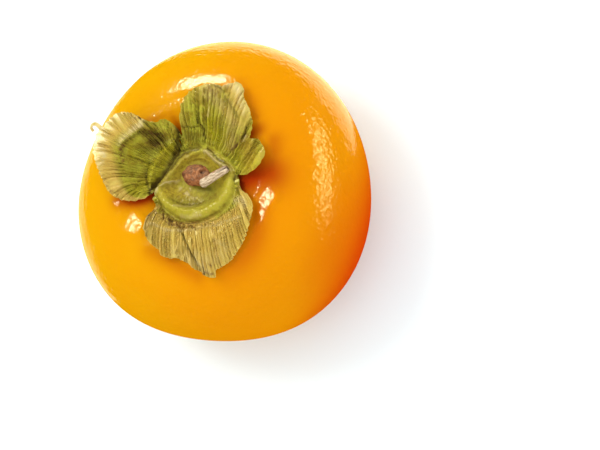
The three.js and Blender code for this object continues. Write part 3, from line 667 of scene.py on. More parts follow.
# Stains on the calyx, and light and shade painted on it: lines of [bearing, reach, strength], with how far
# each one fades.
STAINS_AND_PAINTED_LIGHT = {
    # Lighter green, partly painted light: on the collar's roll, brightest on its right, and on lit places of
    # the lobes.
    "light": [
        ([[206, 8.4, 0.4], [222, 6.4, 0.5], [250, 5.2, 0.4]], 1.0, 1.0),
        ([[214, 9.4, 0.6], [240, 9.2, 0.8], [270, 9.0, 0.8],
          [300, 9.2, 0.8], [335, 10.0, 0.8], [352, 9.8, 0.5]], 1.3, 1.2),
        ([[336, 7.4, 0.8], [348, 8.4, 1], [344, 9.6, 1]], 1.2, 1.2),
        ([[75, 17.4, 0.8], [70, 16.3, 0.7], [73, 14.2, 0.9],
          [68, 11.8, 1], [54, 10.8, 0.8], [56, 9.4, 0.6]], 0.9, 0.9),
        ([[236, 15.4, 0.5], [251, 13.8, 0.7], [274, 13.0, 0.7],
          [299, 13.3, 0.7], [315, 14.4, 0.6]], 0.5, 0.5),
        ([[194, 16.7, 0.7], [194, 14.6, 0.8], [189, 12.9, 0.6]], 1.2, 1.2),
        ([[116, 11.4, 0.5], [132, 9.7, 0.7], [155, 9.0, 0.7], [174, 9.5, 0.8], [188, 10.7, 0.6]], 0.35, 0.45),
        ([[143, 10.5, 0.5], [161, 10.4, 0.7], [175, 10.8, 0.6]], 0.5, 0.5),
        ([[142, 10.6, 0.6], [131, 9.7, 0.7], [122, 10.4, 0.5]], 0.8, 0.8),
        ([[338, 14.1, 0.9], [334, 16, 0.7]], 1.4, 1.4),
        ([[154, 14.2, 0.6], [162, 12.8, 0.8], [171, 11.8, 0.8], [183, 11.6, 0.5]], 0.45, 0.45),
        ([[153, 16.8, 0.4], [159, 16.4, 0.5], [163, 15.4, 0.4]], 0.5, 0.5),
        ([[31, 14.2, 0.6], [27, 12.8, 0.7], [17, 13.6, 0.8], [10, 14.0, 0.6]], 1.2, 1.2),
        ([[60, 12.8, 0.8], [47, 13.6, 0.8], [39, 12.6, 0.8]], 1.7, 1.7),
        ([[72, 19.4, 0.5], [66, 18.6, 0.6], [58, 17.0, 0.6], [52, 15.6, 0.5]], 1.4, 1.4),
        ([[12, 18.6, 0.5], [7, 14.6, 0.6]], 0.7, 0.7),
        ([[312, 18.5, 0.5], [306, 20.5, 0.4]], 1.4, 1.4),
    ],
    "khaki": [
        ([[204, 8.0, 0.9], [222, 5.4, 1], [250, 4.6, 0.8], [275, 4.9, 0.5]], 2.0, 1.6),
        ([[200, 7.0, 0.8], [170, 5.2, 0.9], [140, 5.3, 0.9],
          [105, 5.5, 0.9], [70, 5.7, 0.9], [35, 5.6, 0.8]], 1.6, 1.4),
        ([[35, 6, 0.7], [10, 7.2, 0.7], [345, 5.6, 0.5]], 1.8, 1.6),
        ([[40, 12.0, 0.6], [46, 15.0, 0.5]], 1.4, 1.4),
        ([[27, 17.0, 0.9], [18, 17.2, 0.9], [9, 16.0, 0.8]], 2.6, 2.6),
    ],
    "brown": [
        ([[222, 11.4, 0.6], [234, 11.9, 0.9], [249, 12, 1],
          [260, 11.9, 1], [270, 11.7, 0.9], [286, 11.5, 0.5]], 0.7, 0.6),
        ([[222, 12.2, 0.4], [236, 12.6, 0.7], [250, 12.8, 0.8],
          [262, 12.9, 0.8], [276, 12.7, 0.7], [292, 12.6, 0.4]], 0.9, 0.6),
        ([[50, 16.9, 0.15], [42, 17.8, 0.3], [34, 17.5, 0.6],
          [33, 15.6, 0.6], [39, 14.9, 0.4], [49, 14.7, 0.2]], 1.0, 1.0),
        ([[81, 22.1, 0.6], [75, 22.0, 0.7], [79, 19.3, 0.4], [72, 19.6, 0.4]], 1.5, 1.5),
        ([[38, 17.8, 0.9], [36, 15.6, 1], [35, 12.6, 0.7]], 0.9, 0.6),
        ([[30, 16.3, 0.4], [24, 17.6, 0.35], [20, 16.2, 0.3], [20, 14.6, 0.2]], 1.5, 1.5),
        ([[286, 22.9, 0.9], [286.5, 23.1, 0.9]], 0.35, 0.35),
        ([[285, 25.3, 0.9], [281, 24.8, 0.9]], 0.6, 0.5),
        ([[278, 24.0, 0.7], [281, 23.4, 0.6]], 0.45, 0.45),
        ([[221, 12.6, 0.8], [225, 15, 0.6], [233, 16, 0.3]], 0.8, 0.8),
        ([[238, 17, 0.2], [251, 17.4, 0.3], [259, 18.8, 0.3], [269, 19.9, 0.2]], 2.2, 2.0),
        ([[134, 19.4, 0.7], [128, 18.0, 0.7], [121, 17.4, 0.7], [116, 16.2, 0.6]], 0.5, 0.5),
        ([[174, 25, 0.2], [182, 22.6, 0.35], [190, 20.9, 0.5], [195, 19.2, 0.4]], 1.0, 1.0),
        ([[107, 16, 0.6], [109, 13.6, 0.7]], 0.7, 0.7),
        ([[137, 15.6, 0.9], [132, 14.6, 0.95], [130, 13.5, 0.9], [137, 13, 0.85], [141, 14, 0.8]], 1.2, 1.2),
        # Painted shadow, in brown, under the left lobe's crest.
        ([[157, 18.2, 0.9], [163, 18.1, 0.9], [167, 17.5, 0.8], [173, 17.7, 0.6]], 0.7, 0.4),
    ],
    # Creamy dry edges and places, with painted highlights and glints among them.
    "pale": [
        ([[74, 7.2, 0.8], [69, 7.4, 1], [60, 7.1, 1], [48, 6.9, 1],
          [35, 7.2, 1], [20, 8.6, 0.9], [10, 10.0, 0.4]], 0.35, 0.4),
        ([[200, 11.2, 0.9], [193, 8.9, 1], [187, 7.1, 1], [181, 5.0, 0.6]], 0.22, 0.3),
        # Painted glints along the groove's edge.
        ([[188, 8.2, 0.3], [173, 6.9, 0.15], [155, 6.3, 0.1], [125, 6.3, 0.15], [110, 6.5, 0.4]], 0.2, 0.25),
        # Painted highlights on the collar's roll.
        ([[237, 8.3, 0.7], [251, 7.5, 0.7], [266, 7.0, 0.6]], 0.25, 0.25),
        ([[258, 9.9, 0.5], [272, 9.8, 0.4], [288, 9.7, 0.6]], 0.4, 0.4),
        # Painted highlight along the left lobe's crest.
        ([[132, 17.4, 1], [138, 17.8, 1], [146, 18.2, 1], [153, 18.8, 0.9], [157, 19, 0.5]], 0.4, 0.6),
        ([[71, 24, 0.7], [64, 24.9, 0.9], [57, 22.8, 0.7], [49, 21, 0.5]], 0.9, 1.1),
        ([[141, 26.8, 0.8], [148, 28.2, 0.9], [155, 30.8, 0.9]], 0.6, 0.6),
        # Painted glints on the left lobe's flap.
        ([[165, 23.9, 0.8], [167, 22.4, 0.9], [172, 23.0, 0.6]], 0.9, 0.9),
        ([[178, 24.6, 0.5], [180, 25.0, 0.5]], 0.6, 0.6),
        ([[283, 24.2, 0.8], [281, 22.4, 0.9], [276, 21.4, 0.7], [279, 19.4, 0.5]], 0.7, 0.9),
        # Painted glints on the bottom lobe's bend, its fold on the right and its corners.
        ([[230, 15.2, 0.7], [246, 14.5, 0.8], [256, 13.9, 0.8],
          [273, 13.5, 0.6], [289, 13.3, 0.5], [307, 14.7, 0.5]], 0.3, 0.4),
        ([[303, 13.9, 0.6], [315, 15.4, 0.8], [323, 17.1, 0.8]], 0.3, 0.35),
        ([[219, 14.2, 0.8], [223, 16.2, 0.9], [230, 17.4, 0.6]], 0.7, 0.7),
        ([[334, 13.2, 0.8], [336, 15.0, 0.9], [333, 16.6, 0.6]], 0.8, 0.8),
        ([[205, 4.9, 0.8], [207, 5.2, 0.8]], 0.35, 0.35),
        ([[228, 4.4, 0.9], [236, 4.3, 0.9]], 0.35, 0.35),
        ([[226, 2.9, 0.8], [230, 3.0, 0.8]], 0.3, 0.3),
        ([[296, 18, 0.4], [300, 20.5, 0.4]], 0.8, 0.8),
        ([[264, 19.0, 0.3], [276, 21.4, 0.45], [289, 22.0, 0.45], [300, 21.0, 0.3]], 1.8, 1.8),
        ([[34, 17.2, 0.8], [32, 16.6, 0.6]], 0.4, 0.4),
        ([[74, 16.0, 0.6], [76, 17.6, 0.5]], 0.35, 0.35),
        ([[80, 22.0, 0.3], [72, 20.4, 0.35], [60, 18.2, 0.3], [50, 15.6, 0.3], [42, 12.8, 0.25]], 2.0, 2.0),
    ],
    "papery": [
        ([[234, 12.2, 0.6], [253, 12.3, 1], [284, 11.9, 1], [300, 11.8, 0.8]], 0.8, 1.0),
        ([[80, 24.4, 0.7], [70, 25.4, 1], [62, 23.6, 1], [54, 21.6, 0.9], [47, 20.6, 0.6]], 2.4, 2.4),
        ([[64, 19, 0.5], [52, 18, 0.6], [44, 18.4, 0.6]], 1.6, 1.6),
        ([[28, 20.4, 0.4], [20, 20.8, 0.4], [11, 19, 0.4]], 0.7, 0.7),
        ([[96, 21, 0.35], [102, 18, 0.35], [106, 15, 0.3]], 1.6, 1.6),
    ],
    # Painted shade and shadow: along the creases and the groove, in the pocket, under the left lobe's crest
    # and the collar's lip, in the slot by the ear, lightly over the flap, the disc and the roll, and the
    # stub's shadow on the disc.
    "shade": [
        ([[219, 8.0, 0.4], [233, 7.5, 0.65], [255, 6.6, 0.7], [276, 6.1, 0.65], [298, 6.2, 0.4]], 0.45, 0.3),
        ([[115, 10.8, 0.9], [128, 8.7, 0.9], [155, 8.0, 0.8],
          [178, 9.2, 0.9], [193, 11.1, 1], [199, 12, 0.9]], 0.55, 0.5),
        ([[114, 10.4, 0.9], [122, 8.5, 0.95], [150, 7.8, 0.95], [176, 8.7, 0.95], [192, 10.6, 1]], 0.5, 0.6),
        ([[109, 14.6, 0.8], [110, 12.8, 0.95], [114, 11, 0.95]], 0.5, 0.6),
        ([[86, 18, 0.4], [86, 16, 0.7], [85, 13.9, 0.9],
          [81, 12.9, 0.8], [79, 10.9, 0.7], [79, 9.4, 0.6]], 0.26, 0.26),
        ([[78, 15.4, 0.6], [78, 13.2, 0.6]], 0.2, 0.2),
        ([[106, 13.4, 0.5], [97, 12.9, 0.6], [87, 13.0, 0.7], [81, 12.7, 0.4]], 0.22, 0.22),
        ([[107, 11.6, 0.35], [96, 10.6, 0.4], [88, 9.6, 0.35]], 1.2, 1.2),
        ([[176, 8.0, 0.7], [155, 7.0, 0.8], [125, 7.0, 0.8], [104, 7.2, 0.7], [86, 7.5, 0.7]], 0.3, 0.5),
        ([[260, 12.8, 0.5], [269, 16.0, 0.75], [273, 18.8, 0.75],
          [277, 21.3, 0.6], [279, 23.4, 0.4]], 0.22, 0.35),
        ([[137, 15.6, 0.7], [132, 14.6, 0.8], [130, 13.5, 0.7], [137, 13, 0.8], [141, 14, 0.7]], 1.1, 1.1),
        ([[151, 14.6, 0.3], [150, 12.8, 0.4], [141, 11.9, 0.35], [128, 12, 0.2]], 1.1, 1.1),
        ([[196, 9.0, 0.25], [186, 5.8, 0.25], [150, 5.0, 0.2], [100, 5.2, 0.2], [70, 5.8, 0.15]], 1.6, 1.2),
        ([[216, 7.4, 0.2], [240, 6.0, 0.3], [275, 5.6, 0.3], [320, 5.6, 0.3]], 1.4, 1.4),
        ([[222, 9.6, 0.12], [250, 9.4, 0.14], [285, 9.4, 0.14], [320, 9.8, 0.12], [345, 9.8, 0.1]], 2.0, 1.6),
        ([[136, 22.5, 0.12], [150, 25.5, 0.14], [166, 24.5, 0.08], [176, 20, 0.06]], 3.5, 3.0),
        ([[183, 18.0, 0.1], [191, 16.8, 0.16], [197, 15.4, 0.16]], 2.6, 2.2),
        ([[136, 16.6, 0.7], [143, 17.1, 0.7], [149, 17.6, 0.6],
          [155, 18.1, 0.5], [164, 18.2, 0.4]], 0.6, 0.2),
        ([[160, 12.4, 0.5], [172, 12.3, 0.7], [184, 12.1, 0.8], [195, 11.7, 0.6]], 0.25, 0.3),
        ([[40, 18.8, 0.7], [36, 17.4, 0.8], [35, 15.3, 0.7], [34, 11.9, 0.4]], 0.22, 0.22),
        ([[226, 11.2, 0.4], [246, 11.3, 0.3], [262, 11.2, 0.3],
          [285, 10.8, 0.4], [305, 10.7, 0.6], [325, 11.2, 0.5]], 0.2, 0.22),
        ([[244, 11.9, 0.8], [247, 12.1, 0.8]], 0.25, 0.25),
        ([[233, 12.0, 0.8], [236, 12.2, 0.8]], 0.25, 0.25),
        ([[357, 10.7, 1], [2, 11.2, 1]], 0.5, 0.5),
        ([[217, 14.6, 1], [219, 15, 1]], 0.4, 0.4),
        # The stub's shadow on the disc, painted.
        ([[247, 1.8, 0.4], [307, 2.7, 0.6], [325, 4.2, 0.65], [303, 4.6, 0.35]], 0.7, 0.9),
        ([[196, 4.2, 0.3], [190, 5.6, 0.5], [185, 4.4, 0.5]], 0.3, 0.3),
        ([[84, 8.2, 0.6], [104, 8.0, 0.6], [118, 8.0, 0.6]], 0.25, 0.4),
        ([[71, 8.2, 0.8], [60, 7.9, 0.9], [48, 7.6, 0.9], [34, 8.0, 0.9], [20, 9.5, 0.6]], 0.22, 0.28),
        ([[76, 23.4, 0.7], [72, 23.0, 0.8], [68, 22.4, 0.4]], 0.2, 0.2),
        ([[66, 21.4, 0.35], [58, 20.2, 0.45], [50, 19.0, 0.35]], 0.3, 0.3),
    ],
}
CURL_THICK, CURL_THIN, CURL_STEPS, CURL_SIDES = 0.6, 0.35, 40, 10
# The way that the curl takes from the left lobe's corner, as [bearing, reach, height].
CURL_ROUTE = [
    [153.6, 29.6, 50.6], [152.9, 31.2, 50.4], [152.6, 32.6, 50],
    [153.4, 33.8, 49], [155, 34.2, 48], [156, 33.4, 47.6],
]


def rim_reach(bearing):
    """Reach of the disc's rim, smooth all the way round."""
    table = np.array(DISC_RIM, float)
    turned = np.vstack([table[-2:] - [360, 0], table, table[:2] + [360, 0]])
    line = smooth_line(turned, RIM_PLACES)
    return np.interp(np.mod(bearing, 360), line[:, 0], line[:, 1])


def stroke(xy, line, inner, outer):
    """What a line drawn on the calyx gives each place: its own third value, faded with distance."""
    nodes = smooth_line(planar(line), LINE_PLACES) if len(line) > 2 else planar(line)
    best = np.full(len(xy), np.inf)
    foot_reach, value = np.zeros(len(xy)), np.zeros(len(xy))
    for start, end in zip(nodes[:-1], nodes[1:]):
        way = end[:2] - start[:2]
        share = np.clip((xy - start[:2]) @ way / (way @ way), 0, 1)
        foot = start[:2] + share[:, None] * way
        distance = np.linalg.norm(xy - foot, axis=1)
        nearer = distance < best
        best = np.where(nearer, distance, best)
        foot_reach = np.where(nearer, np.linalg.norm(foot, axis=1), foot_reach)
        value = np.where(nearer, blend(start[2], end[2], share), value)
    outward = np.clip((np.linalg.norm(xy, axis=1) - foot_reach) / np.maximum(best, 1e-6), -1, 1)
    return value * bell(best, blend(inner, outer, 0.5 + 0.5 * outward))


def raised(xy, lines):
    """The sum of several lines' heights."""
    return sum(stroke(xy, *line) for line in lines)


def stains_and_painted_light(xy, lines):
    """The strongest of several marks, stains and painted light and shade alike, with wandering edges."""
    wander = np.array([noise.noise_vector(Vector((x, y, 0)) * 1.3) for x, y in xy])[:, :2]
    return np.clip(np.max([stroke(xy + 0.3 * wander, *line) for line in lines], axis=0), 0, 1)


def roughness(xy, scale):
    """Lumpy noise between about -1 and 1 over plan places."""
    return np.array([noise.fractal(Vector((x, y, 3.7)) * scale, 0.8, 2.0, 3) for x, y in xy])


def disc_points(bearing, share, looks):
    """The disc's upper face, from the stem's seat over the floor and the collar to the groove."""
    turned, s = bearing.ravel(), share.ravel()
    rim = planar(np.column_stack([turned, rim_reach(turned)]))
    edge = planar(np.column_stack([turned, np.full(turned.size, SEAT_RADIUS)])) + SEAT_CENTRE
    flat = blend(edge, rim, s[:, None])
    thick = (0.5 + 0.5 * np.cos(np.radians(turned - THICK_BEARING))) ** 2.5
    lip = looks.lip * bell(s - LIP_PLACE, LIP_SPREAD) * blend(0.25, 1, thick)
    xy = flat + lip[:, None] * planar(np.column_stack([turned, np.ones(turned.size)]))
    collar = blend(COLLAR_LOW, COLLAR_HIGH, thick) * bell(s - COLLAR_PLACE, COLLAR_SPREAD)
    lift = blend(FLOOR_LIFT + collar, GROOVE_LIFT, step(GROOVE_START, GROOVE_END, s))
    grown = step(0.02, 0.15, s) * step(1.0, 0.93, s)
    relief = raised(flat, DISC_FOLDS) + 0.1 * roughness(flat, 2.2) + 0.14 * roughness(flat, 0.8)
    lift = lift + grown * relief
    seat = skin_height(SEAT_CENTRE) + SEAT_LIFT
    return np.column_stack([xy, blend(seat, skin_height(xy) + lift, step(0, 0.5, s))]), flat


def lobe_points(lobe, across, along, seed):
    """A lobe's upper face over a grid of places across it and along it: its points with their plan
    places, and the height and the run of its fibres."""
    count = across.shape[0]
    rim_bearing = blend(lobe["rim"][0], lobe["rim"][1], across[:, 0])
    rim = planar(np.column_stack([rim_bearing, rim_reach(rim_bearing)]))
    crest = smooth_line(planar(lobe["crest"]), count)[:, :2]
    edge = smooth_line(planar(lobe["outline"]), count)
    tooth = noise_1d(across[:, 0] * TEETH, row_noise(64, seed))
    tooth = tooth + 0.7 * noise_1d(across[:, 0] * FINE_TEETH, row_noise(128, seed + 1))
    edge = edge * (1 + lobe["ragged"] * tooth / np.linalg.norm(edge, axis=1))[:, None]
    t = along[..., None]
    inner = blend(rim[:, None], crest[:, None], 2 * t)
    outer = blend(crest[:, None], edge[:, None], 2 * t - 1)
    xy = np.where(t < 0.5, inner, outer).reshape(-1, 2)
    a, s = across.ravel(), along.ravel()
    lift = blend(GROOVE_LIFT, LYING_LIFT, step(0, 0.3, s))
    folds = stroke(xy, lobe["crest"], *lobe["crest_fade"]) + raised(xy, lobe["folds"])
    bearing, share = lobe["along_lobe"]
    sideways = xy @ [-math.sin(math.radians(bearing)), math.cos(math.radians(bearing))]
    straight = (sideways - sideways.min()) / (sideways.max() - sideways.min())
    grain = blend(a, straight, share) + 0.003 * noise_1d(s * 6, row_noise(16, seed + 3))
    strand = grain * lobe["fibres"]
    wave = 0.5 - 0.5 * np.cos(2 * math.pi * (strand + 0.6 * noise_1d(0.9 * strand, row_noise(64, seed + 4))))
    fibre = 0.5 - 1.1 * wave**2.5 + 0.5 * noise_1d(2.2 * strand, row_noise(128, seed + 5))
    fibre += 0.35 * noise_1d(0.5 * strand, row_noise(32, seed + 6))
    grown = step(0, 0.12, s)
    depth, start = lobe["ribbing"]
    ribs = depth * fibre * step(start, start + 0.3, s) * step(0.0, 0.05, np.minimum(a, 1 - a))
    lift = lift + grown * (folds + wave + ribs + 0.1 * roughness(xy, 1.4))
    height = skin_height(xy) + np.maximum(lift, LEAST_LIFT)
    outward = xy / np.linalg.norm(xy, axis=1)[:, None]
    lean = lobe["overhang"] * bell(s - 0.5, 0.09) * step(0, 0.2, np.minimum(a, 1 - a))
    return np.column_stack([xy - outward * lean[:, None], height]), xy, fibre * grown, grain


def build_blades(lobe_rows):
    """Every lobe's points, plan places, fibres, run of the grain and dryness, one after another."""
    along = np.linspace(0, 1, lobe_rows + 1)[1:]
    parts = []
    for number, lobe in enumerate(LOBES.values()):
        grid = np.meshgrid(np.linspace(0, 1, lobe["ribs"]), along, indexing="ij")
        blade, plan, fibre, grain = lobe_points(lobe, *grid, SEED + 20 * number)
        table, width = lobe["papery"]
        first_dry = np.interp(grid[0].ravel(), *np.transpose(table))
        paper = lobe["dryness"] * step(first_dry, first_dry + width, grid[1].ravel())
        parts.append((blade, plan, fibre, (grain + number) * lobe["ribs"], paper))
    return [np.concatenate(values) for values in zip(*parts)]


def calyx_faces(disc_index, lobe_rows):
    """The upper side's faces: a fan on the stem's seat, the disc, and each lobe grown from its rim."""
    ribs = len(disc_index)
    faces = [(0, disc_index[i, 0], disc_index[(i + 1) % ribs, 0]) for i in range(ribs)]
    nets = [(disc_index, np.roll(disc_index, -1, axis=0))]
    first, offset = 0, 1 + disc_index.size
    for lobe in LOBES.values():
        span = lobe["ribs"]
        blade_index = offset + np.arange(span * lobe_rows).reshape(span, lobe_rows)
        net = np.column_stack([disc_index[first : first + span, -1], blade_index])
        nets.append((net[:-1], net[1:]))
        first, offset = first + span, offset + blade_index.size
    for here, turned in nets:
        quads = np.stack([here[:, :-1], here[:, 1:], turned[:, 1:], turned[:, :-1]], -1).reshape(-1, 4)
        faces += [tuple(quad) for quad in quads]
    return faces


def build_calyx(looks):
    """The disc and its lobes as one closed body, with the masks of its stains and of the light and shade
    painted on it, and then the curl.
    """
    disc_rows, lobe_rows = looks.disc_rows, looks.lobe_rows
    blades, blade_plan, fibres, grains, papers = build_blades(lobe_rows)
    bearings = np.concatenate([np.linspace(*lobe["rim"], lobe["ribs"]) for lobe in LOBES.values()])
    ribs = len(bearings)
    disc_grid = np.meshgrid(bearings, np.linspace(0, 1, disc_rows + 1), indexing="ij")
    disc, disc_plan = disc_points(*disc_grid, looks)
    seat = np.array([[*SEAT_CENTRE, skin_height(SEAT_CENTRE) + SEAT_LIFT]])
    upper = np.vstack([seat, disc, blades])
    plan = np.vstack([seat[:, :2], disc_plan, blade_plan])
    disc_index = 1 + np.arange(len(disc)).reshape(ribs, disc_rows + 1)
    faces = calyx_faces(disc_index, lobe_rows)

    plain = np.ones(1 + len(disc))
    along = np.concatenate([0 * plain, np.tile(np.linspace(0, 1, lobe_rows + 1)[1:], ribs)])
    thickness = looks.blade * blend(1, EDGE_THINNESS, step(0.5, 1.0, along))
    lower = upper - vertex_normals(upper, faces) * thickness[:, None]
    solid = np.append(0, disc_index[:, :-1])
    lower[solid] = np.column_stack([plan[solid], skin_height(plan[solid]) + SKIN_GAP])
    lower[:, 2] = np.maximum(lower[:, 2], skin_height(lower[:, :2]) + BLADE_GAP)
    points, faces = close_sheet(upper, lower, faces)

    masks = {name: stains_and_painted_light(plan, lines) for name, lines in STAINS_AND_PAINTED_LIGHT.items()}
    masks["papery"] = np.maximum(masks["papery"], np.concatenate([looks.disc_dryness * plain, papers]))
    masks["fibre"] = np.concatenate([0 * plain, fibres])
    # Painted light along each lobe's edge.
    masks["light"] = np.maximum(masks["light"], EDGE_PAINTED_LIGHT * step(EDGE_START, EDGE_END, along))
    masks = {name: np.concatenate([values, values]) for name, values in masks.items()}
    across = np.concatenate([[0], np.repeat(np.arange(ribs), disc_rows + 1), grains])
    uv = np.column_stack([across * RIB_WIDTH, along * BLADE_LENGTH])
    piece = make_mesh("persimmon_calyx", points, faces, masks, np.vstack([uv, uv]), sharp=60)
    finish_piece(piece, calyx_material(looks), "calyx")
    build_curl()


def build_curl():
    """A thin curled strip that hangs off the corner of the left lobe."""
    along = np.linspace(0, 1, CURL_STEPS)
    flattened = 0.7 + 0.3 * np.cos(2 * turns(CURL_SIDES))
    radii = blend(CURL_THICK, CURL_THIN, along)[:, None] * flattened[None]
    points, faces = tube(planar(smooth_line(CURL_ROUTE, CURL_STEPS)), radii)
    plain = np.ones(len(points))
    masks = {"papery": plain, "pale": 0.8 * plain, "fibre": 0.3 * plain}
    run = np.append(np.repeat(along, CURL_SIDES), [0, 1])
    grain = np.column_stack([plain * 5, run * BLADE_LENGTH])
    piece = make_mesh("calyx_curl", points, faces, masks, grain)
    finish_piece(piece, bpy.data.materials["persimmon_calyx"], None)


def vertex_normals(points, faces):
    """Unit normals at the points, from triangles and four-sided faces."""
    corners = points[np.array([(*face, face[-1])[:4] for face in faces])]
    crosses = np.cross(corners[:, 2] - corners[:, 0], corners[:, 3] - corners[:, 1])
    normals = np.zeros_like(points)
    for k in range(4):
        np.add.at(normals, [(*face, face[-1])[k] for face in faces], crosses)
    return normals / np.maximum(np.linalg.norm(normals, axis=1), 1e-12)[:, None]


def close_sheet(upper, lower, faces):
    """A sheet's upper and lower faces, closed along every free edge."""
    under = len(upper)
    free = {}
    for face in faces:
        for a, b in zip(face, face[1:] + face[:1]):
            if free.pop((b, a), None) is None:
                free[(a, b)] = True
    closed = list(faces)
    closed += [tuple(under + i for i in reversed(face)) for face in faces]
    closed += [(a, under + a, under + b, b) for a, b in free]
    return np.vstack([upper, lower]), closed


# ------------------------------------------------------------------ the stem

STEM_CLEARANCE, KNOB_RADIUS, KNOB_HEIGHT = 0.32, 2.6, 3.8
KNOB_STEPS, KNOB_SIDES = 56, 96
KNOB_BREADTH = 1.32  # how many times broader than deep the knob is
KNOB_PROFILE = [[0.0, 0.02], [0.7, 0.0], [0.98, 0.15], [1, 0.4], [0.88, 0.78], [0.5, 0.97], [0.02, 1.0]]
KNOB_LEAN, KNOB_PIT = np.array([1.6, -0.8]), np.array([3.4, 0.0, 3.4])
# The hollow's width and depth, and the width of the shade painted in it.
PIT_WIDTH, PIT_DEPTH, PIT_SHADE_WIDTH = 0.8, 0.9, 0.62
STUB_STEPS, STUB_SIDES = 90, 40
BARK_THICKNESS, STUB_GROOVE_DEPTH, SPLIT_DEPTH = 0.14, 0.05, 0.35
STUB_ROUTE = [[2.4, -1.35, 2.4], [3.1, -1.1, 3.3], [4.5, -0.5, 3.9], [6.2, 0.35, 4.4], [9.5, 2.05, 4.9]]


def tube(route, radii):
    """A closed tube along a route, with one row of radii for each step: its points and its faces."""
    steps, sides = radii.shape
    tangent = np.gradient(route, axis=0)
    tangent /= np.linalg.norm(tangent, axis=1)[:, None]
    side = np.cross(tangent, [0, 0, 1.0])
    side /= np.linalg.norm(side, axis=1)[:, None]
    up = np.cross(side, tangent)
    turn = turns(sides)
    ring = np.cos(turn)[None, :, None] * side[:, None] + np.sin(turn)[None, :, None] * up[:, None]
    body = (route[:, None] + radii[:, :, None] * ring).reshape(-1, 3)
    faces = ring_faces(steps, sides, turned=True)
    last = (steps - 1) * sides
    faces += [(len(body), k, (k + 1) % sides) for k in range(sides)]
    faces += [(len(body) + 1, last + (k + 1) % sides, last + k) for k in range(sides)]
    return np.vstack([body, route[0], route[-1]]), faces


def build_knob(looks, foot):
    """The curled knob of bark: a lump wrinkled round the hollow where the stub leaves it."""
    profile = smooth_line(KNOB_PROFILE, KNOB_STEPS)
    turn = turns(KNOB_SIDES)
    ring = np.column_stack([KNOB_BREADTH * np.cos(turn), np.sin(turn)]) * KNOB_RADIUS
    flat = (profile[:, None, :1] * ring).reshape(-1, 2)
    knob = np.column_stack([flat, np.repeat(profile[:, 1] * KNOB_HEIGHT, KNOB_SIDES)])
    knob[:, :2] += KNOB_LEAN * step(0, 2.5, knob[:, 2:])
    base_ring = tuple(range(KNOB_SIDES))
    top_ring = tuple(range(len(knob) - KNOB_SIDES, len(knob)))
    faces = [*ring_faces(KNOB_STEPS, KNOB_SIDES), base_ring[::-1], top_ring]

    outward = knob - [0, 0, KNOB_HEIGHT / 2]
    outward /= np.linalg.norm(outward, axis=1)[:, None]
    lumps = np.array([noise.fractal(Vector(point) * 0.7, 1.0, 2.0, 4) for point in knob])
    pit_way = np.linalg.norm(knob - KNOB_PIT, axis=1)
    wrinkle = np.sin(2 * math.pi * (pit_way + 0.5 * lumps) / looks.wrinkle)
    push = (0.4 * lumps + 0.09 * wrinkle * step(0.6, 1.4, pit_way)) * step(0, 1, knob[:, 2])
    push = push - PIT_DEPTH * bell(pit_way, PIT_WIDTH)
    knob = knob + outward * push[:, None]
    crack = 0.6 * step(-0.4, -1, wrinkle) * step(0.5, 1.2, pit_way)
    # Painted shade in the knob's hollow.
    masks = {"pit_shade": bell(pit_way, PIT_SHADE_WIDTH), "crack": crack}
    piece = make_mesh("stem_knob", knob + [*SEAT_CENTRE, foot], faces, masks)
    finish_piece(piece, bark_material(looks), "stem")


def build_stub(looks, foot):
    """The bent stub: split wood with bark left along its upper side and a torn end."""
    along = np.linspace(0, 1, STUB_STEPS)[:, None]
    turn = turns(STUB_SIDES)[None]
    share = turn / (2 * math.pi)
    bark = step(0.0, 0.55, -np.cos(turn - 0.5) + 0.25 * noise_1d(along * 9, row_noise(16, SEED + 90)))
    fading = 0.6 + 0.4 * noise_1d(along * 7, row_noise(16, SEED + 92))
    grooves = noise_1d(share * 22, row_noise(22, SEED + 91)) * fading
    split = bell(turn - 1.9, 0.35) * step(0.45, 0.9, along)
    tear = 0.12 * step(0.9, 1.0, along) * (1 + noise_1d(share * 9, row_noise(9, SEED + 93)))
    foot_round = np.sqrt(np.clip(1 - (np.maximum(0, 0.05 - along) / 0.05) ** 2, 0.02, 1))
    radii = blend(looks.stub_thick, looks.stub_thin, along) * (0.97 + 0.03 * np.cos(2 * turn))
    radii = radii + BARK_THICKNESS * bark + STUB_GROOVE_DEPTH * grooves - SPLIT_DEPTH * split
    radii = radii * foot_round * (1 - tear)
    points, faces = tube(smooth_line(STUB_ROUTE, STUB_STEPS), radii)
    ends = [0, 1]
    # Painted shade in the split and at the middle of the torn end.
    masks = {
        "bark_side": np.append(bark.ravel(), [0, 0]),
        "pit_shade": np.append((0.8 * split * np.ones_like(radii)).ravel(), ends),
    }
    round_stub = np.append(np.tile(turn[0], STUB_STEPS), [0, 0])
    grain = np.column_stack([round_stub, np.append(np.repeat(along[:, 0], STUB_SIDES), ends) * 10])
    piece = make_mesh("stem_stub", points + [0, 0, foot], faces, masks, grain, sharp=50)
    finish_piece(piece, wood_material(looks), None)


def build_stem(looks):
    """The knob and the stub, standing on the calyx's seat."""
    foot = float(skin_height(SEAT_CENTRE)) + SEAT_LIFT + STEM_CLEARANCE
    build_knob(looks, foot)
    build_stub(looks, foot)


# ------------------------------------------------------------------ the stage

LIGHT_DISTANCE = 0.9
LIGHT_AIM = (0, 0, 0.04)
CARD_HEIGHT = 0.0005
# The low window's share of the back window's radiance, and two cards' shares of the cards' own.
LOW_WINDOW_SHARE, BACK_CARD_SHARE, LEFT_CARD_SHARE = 0.7, 1.2, 0.75
GLOSS_TINT = (1.0, 0.9, 0.6)
SIDE_TINT = (1.0, 0.93, 0.36)


def aim(thing, place, target):
    """Put a light or camera in its place, facing the target."""
    thing.location = place
    thing.rotation_euler = (Vector(target) - Vector(place)).to_track_quat("-Z", "Y").to_euler()


